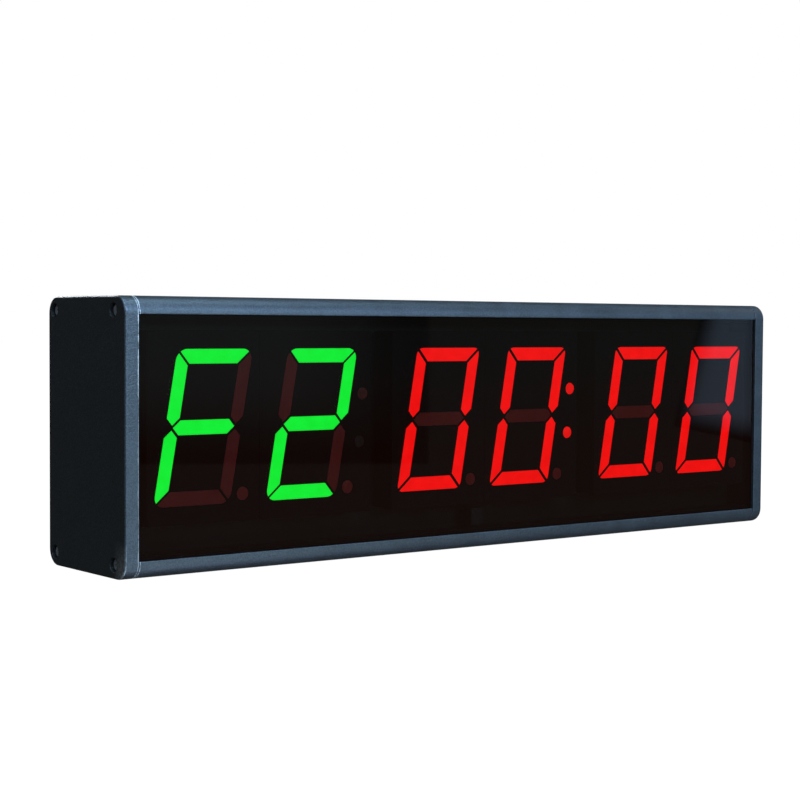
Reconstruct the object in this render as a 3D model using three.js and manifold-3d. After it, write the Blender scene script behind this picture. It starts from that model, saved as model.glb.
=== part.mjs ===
// A gym round timer: a wall clock with six seven-segment digits in an extruded housing.
// Millimetres, +Z up. The front faces -Y, and +X is to the right for someone reading it.
// The origin is the middle of the bottom face.
import * as THREE from 'three';
import { mergeVertices } from 'three/addons/utils/BufferGeometryUtils.js';
import Module from 'manifold-3d';

const wasm = await Module();
wasm.setup();

// ---------------------------------------------------------------------------
// Driving dimensions
// ---------------------------------------------------------------------------
const WIDTH = 333;
const DEPTH = 58;
const HEIGHT = 100;
const CORNER_RADIUS = 6.2;
const FIT = 0.2;              // gap between pieces that sit against each other
const OVER = 1;               // how far a cutter runs past the face it cuts

const FRONT = -DEPTH / 2;
const BACK = DEPTH / 2;

// End caps and the screws that hold them
const CAP_THICKNESS = 5.7;
const CAP_GAP = 0.3;
const CAP_INNER_X = WIDTH / 2 - CAP_THICKNESS;
const SCREW_EDGE_FRONT = 8.3;
const SCREW_EDGE_BACK = 4.8;
const SCREW_EDGE_Z = 5.1;
const COUNTERBORE_RADIUS = 2.5;
const COUNTERBORE_DEPTH = 3.2;
const SCREW_CLEAR_RADIUS = 1.4;
const SCREW_HEAD_RADIUS = 2.25;
const SCREW_HEAD_HEIGHT = 1.8;
const SCREW_SHANK_RADIUS = 1.1;
const SCREW_LENGTH = 10;
const PILOT_RADIUS = 1.25;
const TONGUE_THICKNESS = 1.8;
const TONGUE_LENGTH = 6;
const TONGUE_BACK = BACK - 10;
const CROSS_LENGTH = 2.6;     // the screwdriver recess in each head
const CROSS_WIDTH = 0.6;
const CROSS_DEPTH = 1.1;

// Housing profile, seen along X
const HOUSING_LENGTH = 2 * (CAP_INNER_X - CAP_GAP);
const WALL = 1.8;
const LIP_THICKNESS = 0.9;
const LIP_WIDTH = 6.5;
const WINDOW_THICKNESS = 1.5;
const WINDOW_SLOT_Z = 4;
const SLOT_PLAY = 0.1;
const SLOT_RIB_THICKNESS = 1.4;
const SLOT_RIB_Z = 7;
const PORT_HALF = 2.9;
const BOARD_RIB_THICKNESS = 1.2;
const BOARD_RIB_Z = 5;

// Window, digits and board, front to back
const WINDOW_FRONT = FRONT + LIP_THICKNESS + SLOT_PLAY;
const WINDOW_BACK = WINDOW_FRONT + WINDOW_THICKNESS;
const DIGIT_FACE = WINDOW_BACK + FIT;
const MODULE_DEPTH = 12;
const MODULE_BACK = DIGIT_FACE + MODULE_DEPTH;
const BOARD_FRONT = MODULE_BACK + FIT;
const BOARD_THICKNESS = 1.6;
const BOARD_BACK = BOARD_FRONT + BOARD_THICKNESS;
const BOARD_EDGE_X = 1;       // gaps round the board's edge
const BOARD_EDGE_Z = 2.3;
const WINDOW_EDGE_X = 0.1;

// Digit modules
const DIGIT_CENTRE_Z = 53;
const MODULE_WIDTH = 47.2;
const MODULE_HEIGHT = 69.7;
const PAIR_PITCH = 47.5;
const COLON_PITCH = 61.4;
const DIGIT_WIDTH = 32;
const DIGIT_HEIGHT = 56.4;
const BAR = 5.35;
const BAR_GAP = 0.8;
const DIGIT_CORNER = 3.4;
const SLANT = Math.tan(THREE.MathUtils.degToRad(10));
const POINT_RADIUS = 2.6;
const POINT_X = 16.5;
const POINT_Z = -24.9;
const REAR_FILL = 3;          // depth of the resin web behind the bars
const MODULE_WALL = 1.3;
const BAR_PLAY = 0.1;         // gap between the resin and its shell

// Colon lenses, placed from the middle of the digit on their left, whose shell is wider to hold them
const LENS_RADIUS = 2.5;
const LENSES = [
  { level: 'upper', across: 23.5, up: 10.8 },
  { level: 'lower', across: 22.2, up: -7.7 },
];
const COLON_SHELL_EXTRA = 3.8;

// Track for the wall hangers, in the back wall
const TRACK_Z = 78;
const TRACK_MOUTH = 16;
const TRACK_WIDTH = 22;
const TRACK_LIP = 1.6;
const TRACK_PLATE_GAP = 1.9;
const TRACK_HEAD_ROOM = 4.5;
const TRACK_HEAD_WIDTH = 19;
const HANGER_LENGTH = 34;
const HANGER_THICKNESS = 1.5;
const HANGER_X = 110;
const KEYHOLE_RADIUS = 4.2;
const KEYHOLE_SLOT = 4.4;
const KEYHOLE_DROP = 8;

// Connection pocket in the right end cap, with the switch above the power inlet
const POCKET_Y = 5;
const POCKET_Z = 33;
const POCKET_WIDTH = 17;
const POCKET_HEIGHT = 38;
const POCKET_DEPTH = 4;
const POCKET_CORNER = 3;
const POCKET_FLOOR_X = WIDTH / 2 - POCKET_DEPTH;
const SWITCH_Z = 41.5;
const SWITCH_BEZEL = { height: 15, width: 10.5, thickness: 1.4 };
const SWITCH_BODY = { height: 13.2, width: 8.8, depth: 12 };
const SWITCH_WELL = { height: 11.8, width: 7.2, depth: 5.2 };
const SWITCH_TAB = { length: 6, width: 4, thickness: 0.8, offset: 4 };
const ROCKER_WIDTH = 6.6;
const ROCKER_HALF = 5.2;
const ROCKER_TILT = 11;       // degrees each side of its middle
const ROCKER_CREST = 1.7;
const ROCKER_PIVOT_DEPTH = 1.6;
const TRUNNION_RADIUS = 1;
const TRUNNION_PLAY = 0.1;
const ROCKER_SKIRT = { depth: 0.8, footDepth: 3, footHalf: 3.2 };
const JACK_Z = 23;
const JACK_BARREL_RADIUS = 3.9;
const JACK_BORE_RADIUS = 3;
const JACK_PIN_RADIUS = 1.05;
const JACK_BODY_RADIUS = 5.5;
const JACK_LENGTH = 11;       // behind the cap
const JACK_BASE = 1.5;
const JACK_MOUTH_X = WIDTH / 2 - 1;
const PIN_SETBACK = 1;        // pin end behind the inlet's mouth
const PIN_TAIL = 4;           // pin length behind the inlet
const NUT_RADIUS = 6;
const NUT_THICKNESS = 1.8;
const LEAD_RADIUS = 0.8;

// Electronics on the back of the board: where each part's middle is, and its size
const BUZZER = { x: -60, z: 34, radius: 11, height: 9, floor: 2, mouthRadius: 2 };
const SOUND_HOLE_RADIUS = 1.5;
const SOUND_HOLE_RING = 5;
const SOUND_HOLES_ROUND = 6;
const MICROCONTROLLER = { x: 10, z: 52, width: 10, height: 10, thickness: 1.6, legs: 6 };
const DRIVER = { x: -25, upperZ: 66, lowerZ: 38, width: 18, height: 7.5, thickness: 2.3, legs: 8 };
const CHIP_LEG = { length: 1.2, width: 0.5, lift: 0.1 };
const CRYSTAL = { x: 24, z: 62, radius: 1.5, height: 6 };
const CAPACITOR = { x: 96, z: 52, radius: 5, height: 12 };
const REGULATOR = { x: 80, z: 34, width: 10, height: 9, thickness: 4.5, tabThickness: 1.3, tabTop: 11 };
const CONNECTOR = { x: 118, z: 34, width: 12, height: 6, depth: 8, wall: 1, floor: 1.5 };
const CELL = { x: 52, z: 66, radius: 10, thickness: 3.2, holder: 24, holderDepth: 5, floor: 1.2 };

// Remote control receiver, on the front of the board under the digits
const RECEIVER = { z: 12, width: 6, height: 7, front: -22, back: -17 };
const RECEIVER_LEG = { pitch: 2.54, width: 0.6, front: -18 };

// Number of flats on round pieces
const ROUND = 24;
const ROUND_MIDDLE = 16;
const ROUND_SMALL = 12;

// ---------------------------------------------------------------------------
// Solids
// ---------------------------------------------------------------------------
function toManifold(geometry) {
  const bare = geometry.clone();
  bare.deleteAttribute('normal');
  bare.deleteAttribute('uv');
  const merged = mergeVertices(bare, 1e-5);
  return new wasm.Manifold(new wasm.Mesh({
    numProp: 3,
    vertProperties: new Float32Array(merged.attributes.position.array),
    triVerts: new Uint32Array(merged.index.array),
  }));
}

function toGeometry(manifold) {
  const mesh = manifold.getMesh();
  const geometry = new THREE.BufferGeometry();
  geometry.setAttribute('position', new THREE.BufferAttribute(mesh.vertProperties, 3));
  geometry.setIndex(new THREE.BufferAttribute(mesh.triVerts, 1));
  geometry.computeVertexNormals();
  return geometry;
}

const cut = (base, tools) => toGeometry(
  tools.reduce((solid, tool) => solid.subtract(toManifold(tool)), toManifold(base)));

const join = (pieces) => toGeometry(
  pieces.slice(1).reduce((solid, piece) => solid.add(toManifold(piece)), toManifold(pieces[0])));

const common = (first, second) => toGeometry(
  toManifold(first).intersect(toManifold(second)));

// A box between two corners, given as ranges along each axis
function block([x0, x1], [y0, y1], [z0, z1]) {
  const box = new THREE.BoxGeometry(x1 - x0, y1 - y0, z1 - z0);
  return box.translate((x0 + x1) / 2, (y0 + y1) / 2, (z0 + z1) / 2);
}

const around = (centre, size) => [centre - size / 2, centre + size / 2];

function roundedRectangle(width, height, radius) {
  const shape = new THREE.Shape();
  const w = width / 2;
  const h = height / 2;
  shape.moveTo(-w + radius, -h);
  shape.lineTo(w - radius, -h);
  shape.absarc(w - radius, -h + radius, radius, -Math.PI / 2, 0, false);
  shape.lineTo(w, h - radius);
  shape.absarc(w - radius, h - radius, radius, 0, Math.PI / 2, false);
  shape.lineTo(-w + radius, h);
  shape.absarc(-w + radius, h - radius, radius, Math.PI / 2, Math.PI, false);
  shape.lineTo(-w, -h + radius);
  shape.absarc(-w + radius, -h + radius, radius, Math.PI, 1.5 * Math.PI, false);
  return shape;
}

// An outline in Y and Z, carried along X from x0 to x1
function alongX(shape, [x0, x1], curveSegments = 6) {
  const options = { depth: x1 - x0, bevelEnabled: false, curveSegments };
  const solid = new THREE.ExtrudeGeometry(shape, options);
  const turn = new THREE.Matrix4().makeBasis(
    new THREE.Vector3(0, 1, 0), new THREE.Vector3(0, 0, 1), new THREE.Vector3(1, 0, 0));
  return solid.applyMatrix4(turn).translate(x0, 0, 0);
}

// An outline in X and Z, carried along Y from y0 to y1
function alongY(shape, [y0, y1], curveSegments = 6) {
  const options = { depth: y1 - y0, bevelEnabled: false, curveSegments };
  const solid = new THREE.ExtrudeGeometry(shape, options);
  return solid.rotateX(Math.PI / 2).translate(0, y1, 0);
}

function rodAlongX(radius, [x0, x1], y, z, flats = ROUND) {
  const rod = new THREE.CylinderGeometry(radius, radius, x1 - x0, flats);
  return rod.rotateZ(Math.PI / 2).translate((x0 + x1) / 2, y, z);
}

function rodAlongY(radius, x, [y0, y1], z, flats = ROUND) {
  const rod = new THREE.CylinderGeometry(radius, radius, y1 - y0, flats);
  return rod.translate(x, (y0 + y1) / 2, z);
}

// ---------------------------------------------------------------------------
// Materials and the scene graph
// ---------------------------------------------------------------------------
const finishes = {
  paint: { color: 0x39434f, roughness: 0.5, metalness: 0.2 },
  cap: { color: 0x1b1f25, roughness: 0.55, metalness: 0.1 },
  window: { color: 0x0b0b0c, roughness: 0.08, metalness: 0 },
  steel: { color: 0x2a2c2f, roughness: 0.4, metalness: 0.9 },
  zinc: { color: 0xb8bcc0, roughness: 0.35, metalness: 0.9 },
  board: { color: 0x1d4a2c, roughness: 0.6, metalness: 0 },
  black: { color: 0x121214, roughness: 0.6, metalness: 0 },
  green: { color: 0x10e038, roughness: 0.5, metalness: 0 },
  red: { color: 0xe01010, roughness: 0.5, metalness: 0 },
  unlit: { color: 0x3c1616, roughness: 0.5, metalness: 0 },
  cream: { color: 0xd9d4c4, roughness: 0.6, metalness: 0 },
  redLead: { color: 0xa81818, roughness: 0.6, metalness: 0 },
};

const timer = new THREE.Group();

function place(name, geometry, finish, parent = timer) {
  const mesh = new THREE.Mesh(geometry, new THREE.MeshStandardMaterial(finishes[finish]));
  mesh.name = name;
  parent.add(mesh);
  return mesh;
}

// ---------------------------------------------------------------------------
// Housing: a constant profile cut to length, with sound holes in the back wall
// ---------------------------------------------------------------------------
const housingSpan = around(0, HOUSING_LENGTH);
const cutSpan = around(0, HOUSING_LENGTH + 2 * OVER);
const screwPlaces = [
  { edge: 'front', y: FRONT + SCREW_EDGE_FRONT, z: SCREW_EDGE_Z },
  { edge: 'front', y: FRONT + SCREW_EDGE_FRONT, z: HEIGHT - SCREW_EDGE_Z },
  { edge: 'back', y: BACK - SCREW_EDGE_BACK, z: SCREW_EDGE_Z },
  { edge: 'back', y: BACK - SCREW_EDGE_BACK, z: HEIGHT - SCREW_EDGE_Z },
];

function bodyBlank(span) {
  return alongX(roundedRectangle(DEPTH, HEIGHT, CORNER_RADIUS), span).translate(0, 0, HEIGHT / 2);
}

// The same rib at the bottom and at the top, from the wall in to the height given
function ribPair([y0, y1], height) {
  return [
    block(housingSpan, [y0, y1], [WALL / 2, height]),
    block(housingSpan, [y0, y1], [HEIGHT - height, HEIGHT - WALL / 2]),
  ];
}

// One hole behind the middle of the buzzer, and a ring of them round it
function soundHoles() {
  const throughWall = [BACK - WALL - OVER, BACK + OVER];
  const hole = (x, z) => rodAlongY(SOUND_HOLE_RADIUS, x, throughWall, z, ROUND_SMALL);
  const ring = Array.from({ length: SOUND_HOLES_ROUND }, (_, i) => {
    const angle = 2 * Math.PI * i / SOUND_HOLES_ROUND;
    return hole(BUZZER.x + SOUND_HOLE_RING * Math.cos(angle), BUZZER.z + SOUND_HOLE_RING * Math.sin(angle));
  });
  return [hole(BUZZER.x, BUZZER.z), ...ring];
}

function mainHousing() {
  const slotBack = WINDOW_BACK + SLOT_PLAY;
  const slotFront = WINDOW_FRONT - SLOT_PLAY;
  const frameBack = slotBack + SLOT_RIB_THICKNESS;
  const cavityDepth = BACK - WALL - frameBack;
  const cavityOutline = roundedRectangle(cavityDepth, HEIGHT - 2 * WALL, CORNER_RADIUS - WALL);
  const cavity = alongX(cavityOutline, cutSpan).translate(0, frameBack + cavityDepth / 2, HEIGHT / 2);
  const hollow = cut(bodyBlank(housingSpan), [
    cavity,
    block(cutSpan, [FRONT - OVER, frameBack + OVER], [SLOT_RIB_Z, HEIGHT - SLOT_RIB_Z]),
    block(cutSpan, [FRONT - OVER, slotFront], [LIP_WIDTH, HEIGHT - LIP_WIDTH]),
    block(cutSpan, [slotFront, slotBack], [WINDOW_SLOT_Z, HEIGHT - WINDOW_SLOT_Z]),
  ]);

  const ports = screwPlaces.map(({ edge, y, z }) => {
    const towardWall = z < HEIGHT / 2 ? [WALL / 2, z + PORT_HALF] : [z - PORT_HALF, HEIGHT - WALL / 2];
    const frontPort = [frameBack - SLOT_RIB_THICKNESS / 2, y + PORT_HALF];
    const backPort = [y - PORT_HALF, BACK - WALL / 2];
    return block(housingSpan, edge === 'front' ? frontPort : backPort, towardWall);
  });
  const boardRibs = [
    ...ribPair([BOARD_FRONT - FIT - BOARD_RIB_THICKNESS, BOARD_FRONT - FIT], BOARD_RIB_Z),
    ...ribPair([BOARD_BACK + FIT, BOARD_BACK + FIT + BOARD_RIB_THICKNESS], BOARD_RIB_Z),
  ];
  const trackDepth = TRACK_LIP + TRACK_PLATE_GAP + TRACK_HEAD_ROOM;
  const trackBox = [BACK - trackDepth - WALL, BACK - WALL / 2];
  const track = block(housingSpan, trackBox, around(TRACK_Z, TRACK_WIDTH + 2 * TRACK_LIP));
  const inside = common(join([...ports, ...boardRibs, track]), bodyBlank(housingSpan));

  const plateBack = BACK - TRACK_LIP;
  const plateFront = plateBack - TRACK_PLATE_GAP;
  return cut(join([hollow, inside]), [
    ...screwPlaces.map(({ y, z }) => rodAlongX(PILOT_RADIUS, cutSpan, y, z, ROUND_SMALL)),
    block(cutSpan, [plateBack - OVER / 2, BACK + OVER], around(TRACK_Z, TRACK_MOUTH)),
    block(cutSpan, [plateFront, plateBack], around(TRACK_Z, TRACK_WIDTH)),
    block(cutSpan, [BACK - trackDepth, plateFront + OVER / 2], around(TRACK_Z, TRACK_HEAD_WIDTH)),
    ...soundHoles(),
  ]);
}

place('main_housing', mainHousing(), 'paint');

// ---------------------------------------------------------------------------
// End caps: side is -1 for the left one and 1 for the right one
// ---------------------------------------------------------------------------
const span = (side, near, far) => (side > 0 ? [near, far] : [-far, -near]);

function endCap(side) {
  const outer = WIDTH / 2;
  const tongueSpan = span(side, CAP_INNER_X - TONGUE_LENGTH, CAP_INNER_X + OVER);
  const tongueY = [BOARD_BACK + FIT + BOARD_RIB_THICKNESS + FIT, TONGUE_BACK];
  const tongues = [
    block(tongueSpan, tongueY, [WALL + FIT, WALL + FIT + TONGUE_THICKNESS]),
    block(tongueSpan, tongueY, [HEIGHT - WALL - FIT - TONGUE_THICKNESS, HEIGHT - WALL - FIT]),
  ];
  const holes = screwPlaces.flatMap(({ y, z }) => [
    rodAlongX(SCREW_CLEAR_RADIUS, span(side, CAP_INNER_X - OVER, outer + OVER), y, z, ROUND_SMALL),
    rodAlongX(COUNTERBORE_RADIUS, span(side, outer - COUNTERBORE_DEPTH, outer + OVER), y, z),
  ]);
  return cut(join([bodyBlank(span(side, CAP_INNER_X, outer)), ...tongues]), holes);
}

function rightCap() {
  const throughFloor = [CAP_INNER_X - OVER, POCKET_FLOOR_X + OVER];
  const pocketOutline = roundedRectangle(POCKET_WIDTH, POCKET_HEIGHT, POCKET_CORNER);
  const pocket = alongX(pocketOutline, [POCKET_FLOOR_X, WIDTH / 2 + OVER]).translate(0, POCKET_Y, POCKET_Z);
  const switchHole = block(throughFloor,
    around(POCKET_Y, SWITCH_BODY.width + 2 * FIT), around(SWITCH_Z, SWITCH_BODY.height + 2 * FIT));
  const jackHole = rodAlongX(JACK_BARREL_RADIUS + FIT, throughFloor, POCKET_Y, JACK_Z);
  return cut(endCap(1), [pocket, switchHole, jackHole]);
}

place('left_end_cap', endCap(-1), 'cap');
place('right_end_cap', rightCap(), 'cap');

function capScrew() {
  const head = rodAlongX(SCREW_HEAD_RADIUS, [0, SCREW_HEAD_HEIGHT], 0, 0, ROUND);
  const shank = rodAlongX(SCREW_SHANK_RADIUS, [-SCREW_LENGTH, OVER / 2], 0, 0, ROUND_SMALL);
  const recess = [SCREW_HEAD_HEIGHT - CROSS_DEPTH, SCREW_HEAD_HEIGHT + OVER];
  return cut(join([head, shank]), [
    block(recess, around(0, CROSS_LENGTH), around(0, CROSS_WIDTH)),
    block(recess, around(0, CROSS_WIDTH), around(0, CROSS_LENGTH)),
  ]);
}

for (const side of [-1, 1]) {
  for (const { edge, y, z } of screwPlaces) {
    const level = z < HEIGHT / 2 ? 'lower' : 'upper';
    const end = side < 0 ? 'left' : 'right';
    const screw = place(`${end}_cap_screw_${level}_${edge}`, capScrew(), 'steel');
    screw.position.set(side * (WIDTH / 2 - COUNTERBORE_DEPTH + FIT), y, z);
    screw.rotation.z = side < 0 ? Math.PI : 0;
  }
}

// ---------------------------------------------------------------------------
// Window and display board
// ---------------------------------------------------------------------------
place('front_window', block(around(0, HOUSING_LENGTH - 2 * WINDOW_EDGE_X), [WINDOW_FRONT, WINDOW_BACK],
  [WINDOW_SLOT_Z + FIT, HEIGHT - WINDOW_SLOT_Z - FIT]), 'window');
place('display_board', block(around(0, HOUSING_LENGTH - 2 * BOARD_EDGE_X), [BOARD_FRONT, BOARD_BACK],
  [BOARD_EDGE_Z, HEIGHT - BOARD_EDGE_Z]), 'board');

// ---------------------------------------------------------------------------
// Seven-segment digits. Points are (across, up) from the digit's middle, upright; the slant
// is a shear. A bar is pulled in by half the gap wherever it meets another one.
// ---------------------------------------------------------------------------
const W = DIGIT_WIDTH / 2;
const H = DIGIT_HEIGHT / 2;
const MITRE = BAR_GAP / Math.SQRT2;
const slanted = ([across, up]) => new THREE.Vector2(across + SLANT * up, up);

// Points of a round outer corner, from the mitre line to where the corner ends
function cornerArc(fromAngle, toAngle) {
  const steps = 3;
  const centre = [W - DIGIT_CORNER, H - DIGIT_CORNER];
  return Array.from({ length: steps + 1 }, (_, i) => {
    const angle = fromAngle + (toAngle - fromAngle) * i / steps;
    return [centre[0] + DIGIT_CORNER * Math.cos(angle), centre[1] + DIGIT_CORNER * Math.sin(angle)];
  });
}

const flip = (points, across, up) => points.map(([x, z]) => [across * x, up * z]);
const mitreAngle = Math.PI / 4;
const mitreTurn = MITRE / DIGIT_CORNER / Math.SQRT2;

function topBar() {
  const rightEnd = cornerArc(mitreAngle + mitreTurn, Math.PI / 2);
  const leftEnd = flip([...rightEnd].reverse(), -1, 1);
  return [...rightEnd, ...leftEnd, [-W + BAR + MITRE, H - BAR], [W - BAR - MITRE, H - BAR]];
}

function upperRightBar() {
  const tip = BAR_GAP;
  return [
    ...cornerArc(0, mitreAngle - mitreTurn),
    [W - BAR, H - BAR - MITRE],
    [W - BAR, tip + BAR / 2],
    [W - BAR / 2, tip],
    [W, tip + BAR / 2],
  ];
}

function middleBar() {
  const tip = W - BAR / 2 - BAR_GAP / 2;
  const half = BAR / 2;
  const upperEdge = [[-tip, 0], [-tip + half, half], [tip - half, half]];
  return [...upperEdge, ...flip(upperEdge, -1, -1)];
}

const barOutlines = [
  topBar(),
  flip(topBar(), 1, -1),
  middleBar(),
  upperRightBar(),
  flip(upperRightBar(), -1, 1),
  flip(upperRightBar(), 1, -1),
  flip(upperRightBar(), -1, -1),
];

// A bar's outline as a solid, grown by the play all round its own middle
function barSolid(outline, range, play) {
  const count = outline.length;
  const middle = outline.reduce(([a, b], [x, z]) => [a + x / count, b + z / count], [0, 0]);
  const reach = outline.map(([x, z]) => Math.hypot(x - middle[0], z - middle[1]));
  const points = outline.map(([x, z], i) => slanted([
    x + play * (x - middle[0]) / reach[i],
    z + play * (z - middle[1]) / reach[i],
  ]));
  return alongY(new THREE.Shape(points), range);
}

// A block of the module's width and height, less the amount given
function digitBlock(less, range) {
  return block(around(0, MODULE_WIDTH - less), range, around(0, MODULE_HEIGHT - less));
}

function digitReflector(holdsColon) {
  const depth = [DIGIT_FACE, MODULE_BACK];
  const through = [DIGIT_FACE - OVER, MODULE_BACK + OVER];
  const holes = [
    ...barOutlines.map((outline) => barSolid(outline, through, 0)),
    rodAlongY(POINT_RADIUS, POINT_X, through, POINT_Z, ROUND_MIDDLE),
    digitBlock(2 * MODULE_WALL, [MODULE_BACK - REAR_FILL, MODULE_BACK + OVER]),
  ];
  if (!holdsColon) return cut(digitBlock(0, depth), holes);
  const across = [-MODULE_WIDTH / 2, MODULE_WIDTH / 2 + COLON_SHELL_EXTRA];
  const lensHoles = LENSES.map(({ across: x, up }) => rodAlongY(LENS_RADIUS, x, through, up, ROUND_MIDDLE));
  return cut(block(across, depth, around(0, MODULE_HEIGHT)), [...holes, ...lensHoles]);
}

function digitSegments() {
  const web = [MODULE_BACK - REAR_FILL + BAR_PLAY, MODULE_BACK];
  const column = [DIGIT_FACE + BAR_PLAY, MODULE_BACK - REAR_FILL / 2];
  return join([
    digitBlock(2 * MODULE_WALL + 2 * BAR_PLAY, web),
    ...barOutlines.map((outline) => barSolid(outline, column, -BAR_PLAY)),
    rodAlongY(POINT_RADIUS - BAR_PLAY, POINT_X, column, POINT_Z, ROUND_MIDDLE),
  ]);
}

const pairMiddle = PAIR_PITCH + COLON_PITCH;
const digitCentres = [-pairMiddle, 0, pairMiddle].flatMap((x) => around(x, PAIR_PITCH));
const colonDigits = [1, 3];

digitCentres.forEach((x, i) => {
  const module = new THREE.Group();
  module.position.set(x, 0, DIGIT_CENTRE_Z);
  place(`digit_${i + 1}_reflector`, digitReflector(colonDigits.includes(i)), 'black', module);
  place(`digit_${i + 1}_segments`, digitSegments(), i < 2 ? 'green' : 'red', module);
  timer.add(module);
});

// ---------------------------------------------------------------------------
// Colons: two round lenses in the shell on their left, in front of the resin web
// ---------------------------------------------------------------------------
const lensRange = [DIGIT_FACE + BAR_PLAY, MODULE_BACK - REAR_FILL];

for (const [side, digit, finish] of [['left', colonDigits[0], 'unlit'], ['right', colonDigits[1], 'red']]) {
  for (const { level, across, up } of LENSES) {
    const lens = rodAlongY(LENS_RADIUS - BAR_PLAY, 0, lensRange, 0, ROUND_MIDDLE);
    place(`${side}_colon_${level}_lens`, lens, finish)
      .position.set(digitCentres[digit] + across, 0, DIGIT_CENTRE_Z + up);
  }
}

// ---------------------------------------------------------------------------
// Wall hangers: steel plates that slide in the track, each with a keyhole
// ---------------------------------------------------------------------------
const PLATE_BACK = BACK - TRACK_LIP - FIT;
const plateRange = [PLATE_BACK - HANGER_THICKNESS, PLATE_BACK];

function wallHanger() {
  const cutter = [plateRange[0] - OVER, plateRange[1] + OVER];
  const entryZ = TRACK_Z - KEYHOLE_DROP / 2;
  const plate = block(around(0, HANGER_LENGTH), plateRange, around(TRACK_Z, TRACK_WIDTH - 2 * FIT));
  return cut(plate, [
    rodAlongY(KEYHOLE_RADIUS, 0, cutter, entryZ),
    block(around(0, KEYHOLE_SLOT), cutter, [entryZ, entryZ + KEYHOLE_DROP]),
    rodAlongY(KEYHOLE_SLOT / 2, 0, cutter, entryZ + KEYHOLE_DROP, ROUND_SMALL),
  ]);
}

for (const side of [-1, 1]) {
  const hanger = place(`${side < 0 ? 'left' : 'right'}_wall_hanger`, wallHanger(), 'zinc');
  hanger.position.x = side * HANGER_X;
}

// ---------------------------------------------------------------------------
// Power switch: its bezel sits on the pocket floor, and the rocker turns about Y
// ---------------------------------------------------------------------------
const BEZEL_BACK = POCKET_FLOOR_X + FIT / 2;
const BEZEL_FRONT = BEZEL_BACK + SWITCH_BEZEL.thickness;
const PIVOT_X = BEZEL_FRONT - ROCKER_PIVOT_DEPTH;
const TRUNNION_REACH = SWITCH_BODY.width / 2 - FIT;

function switchBody() {
  const bodyBack = BEZEL_BACK - SWITCH_BODY.depth;
  const centred = (range, { width, height }) => (
    block(range, around(POCKET_Y, width), around(SWITCH_Z, height)));
  const tabs = [-SWITCH_TAB.offset, SWITCH_TAB.offset].map((z) => block(
    [bodyBack - SWITCH_TAB.length, bodyBack + OVER],
    around(POCKET_Y, SWITCH_TAB.width), around(SWITCH_Z + z, SWITCH_TAB.thickness)));
  const shell = join([
    centred([BEZEL_BACK, BEZEL_FRONT], SWITCH_BEZEL),
    centred([bodyBack, BEZEL_BACK + OVER / 2], SWITCH_BODY),
    ...tabs,
  ]);
  const holeRadius = TRUNNION_RADIUS + TRUNNION_PLAY;
  const axle = new THREE.CylinderGeometry(holeRadius, holeRadius, SWITCH_BODY.width + 2 * OVER, ROUND);
  return cut(shell, [
    centred([PIVOT_X - SWITCH_WELL.depth, BEZEL_FRONT + OVER], SWITCH_WELL),
    axle.translate(PIVOT_X, POCKET_Y, SWITCH_Z),
  ]);
}

// The rocker's side view, out from the pivot and along its length, in its middle position
function rocker() {
  const rise = ROCKER_HALF * Math.tan(THREE.MathUtils.degToRad(ROCKER_TILT));
  const half = [
    [ROCKER_HALF, ROCKER_CREST + rise],
    [ROCKER_HALF, -ROCKER_SKIRT.depth],
    [ROCKER_SKIRT.footHalf, -ROCKER_SKIRT.footDepth],
  ];
  const outline = [[0, ROCKER_CREST], ...half, ...[...half].reverse().map(([along, out]) => [-along, out])];
  const shape = new THREE.Shape(outline.map(([along, out]) => new THREE.Vector2(out, along)));
  const axle = new THREE.CylinderGeometry(TRUNNION_RADIUS, TRUNNION_RADIUS, 2 * TRUNNION_REACH, ROUND);
  return join([alongY(shape, around(0, ROCKER_WIDTH)), axle]);
}

place('rocker_switch_body', switchBody(), 'black');
const rockerMesh = place('rocker', rocker(), 'black');
rockerMesh.position.set(PIVOT_X, POCKET_Y, SWITCH_Z);
rockerMesh.rotation.y = THREE.MathUtils.degToRad(ROCKER_TILT);

// ---------------------------------------------------------------------------
// Power inlet: a barrel through the pocket floor, held by a nut, with its centre pin
// ---------------------------------------------------------------------------
const JACK_BACK_X = CAP_INNER_X - JACK_LENGTH;

function dcJack() {
  const shoulder = CAP_INNER_X - FIT;
  const boreBack = JACK_BACK_X + JACK_BASE;
  const pinHole = [JACK_BACK_X - OVER, boreBack + OVER / 2];
  return cut(join([
    rodAlongX(JACK_BARREL_RADIUS, [shoulder - OVER, JACK_MOUTH_X], POCKET_Y, JACK_Z),
    rodAlongX(JACK_BODY_RADIUS, [JACK_BACK_X, shoulder], POCKET_Y, JACK_Z),
  ]), [
    rodAlongX(JACK_BORE_RADIUS, [boreBack, JACK_MOUTH_X + OVER], POCKET_Y, JACK_Z),
    rodAlongX(JACK_PIN_RADIUS + FIT / 2, pinHole, POCKET_Y, JACK_Z, ROUND_SMALL),
  ]);
}

function jackNut() {
  const sides = 6;
  const back = POCKET_FLOOR_X + FIT / 2;
  const front = back + NUT_THICKNESS;
  return cut(rodAlongX(NUT_RADIUS, [back, front], POCKET_Y, JACK_Z, sides),
    [rodAlongX(JACK_BARREL_RADIUS + FIT / 2, [back - OVER, front + OVER], POCKET_Y, JACK_Z)]);
}

const pinRange = [JACK_BACK_X - PIN_TAIL, JACK_MOUTH_X - PIN_SETBACK];
place('dc_jack', dcJack(), 'black');
place('dc_jack_pin', rodAlongX(JACK_PIN_RADIUS, pinRange, POCKET_Y, JACK_Z, ROUND_SMALL), 'zinc');
place('dc_jack_nut', jackNut(), 'zinc');

// ---------------------------------------------------------------------------
// Electronics: the parts that stand on the back of the display board
// ---------------------------------------------------------------------------
const PART_FRONT = BOARD_BACK + FIT;
const standing = (height) => [PART_FRONT, PART_FRONT + height];
const upright = ({ radius, height }, flats) => rodAlongY(radius, 0, standing(height), 0, flats);

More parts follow.
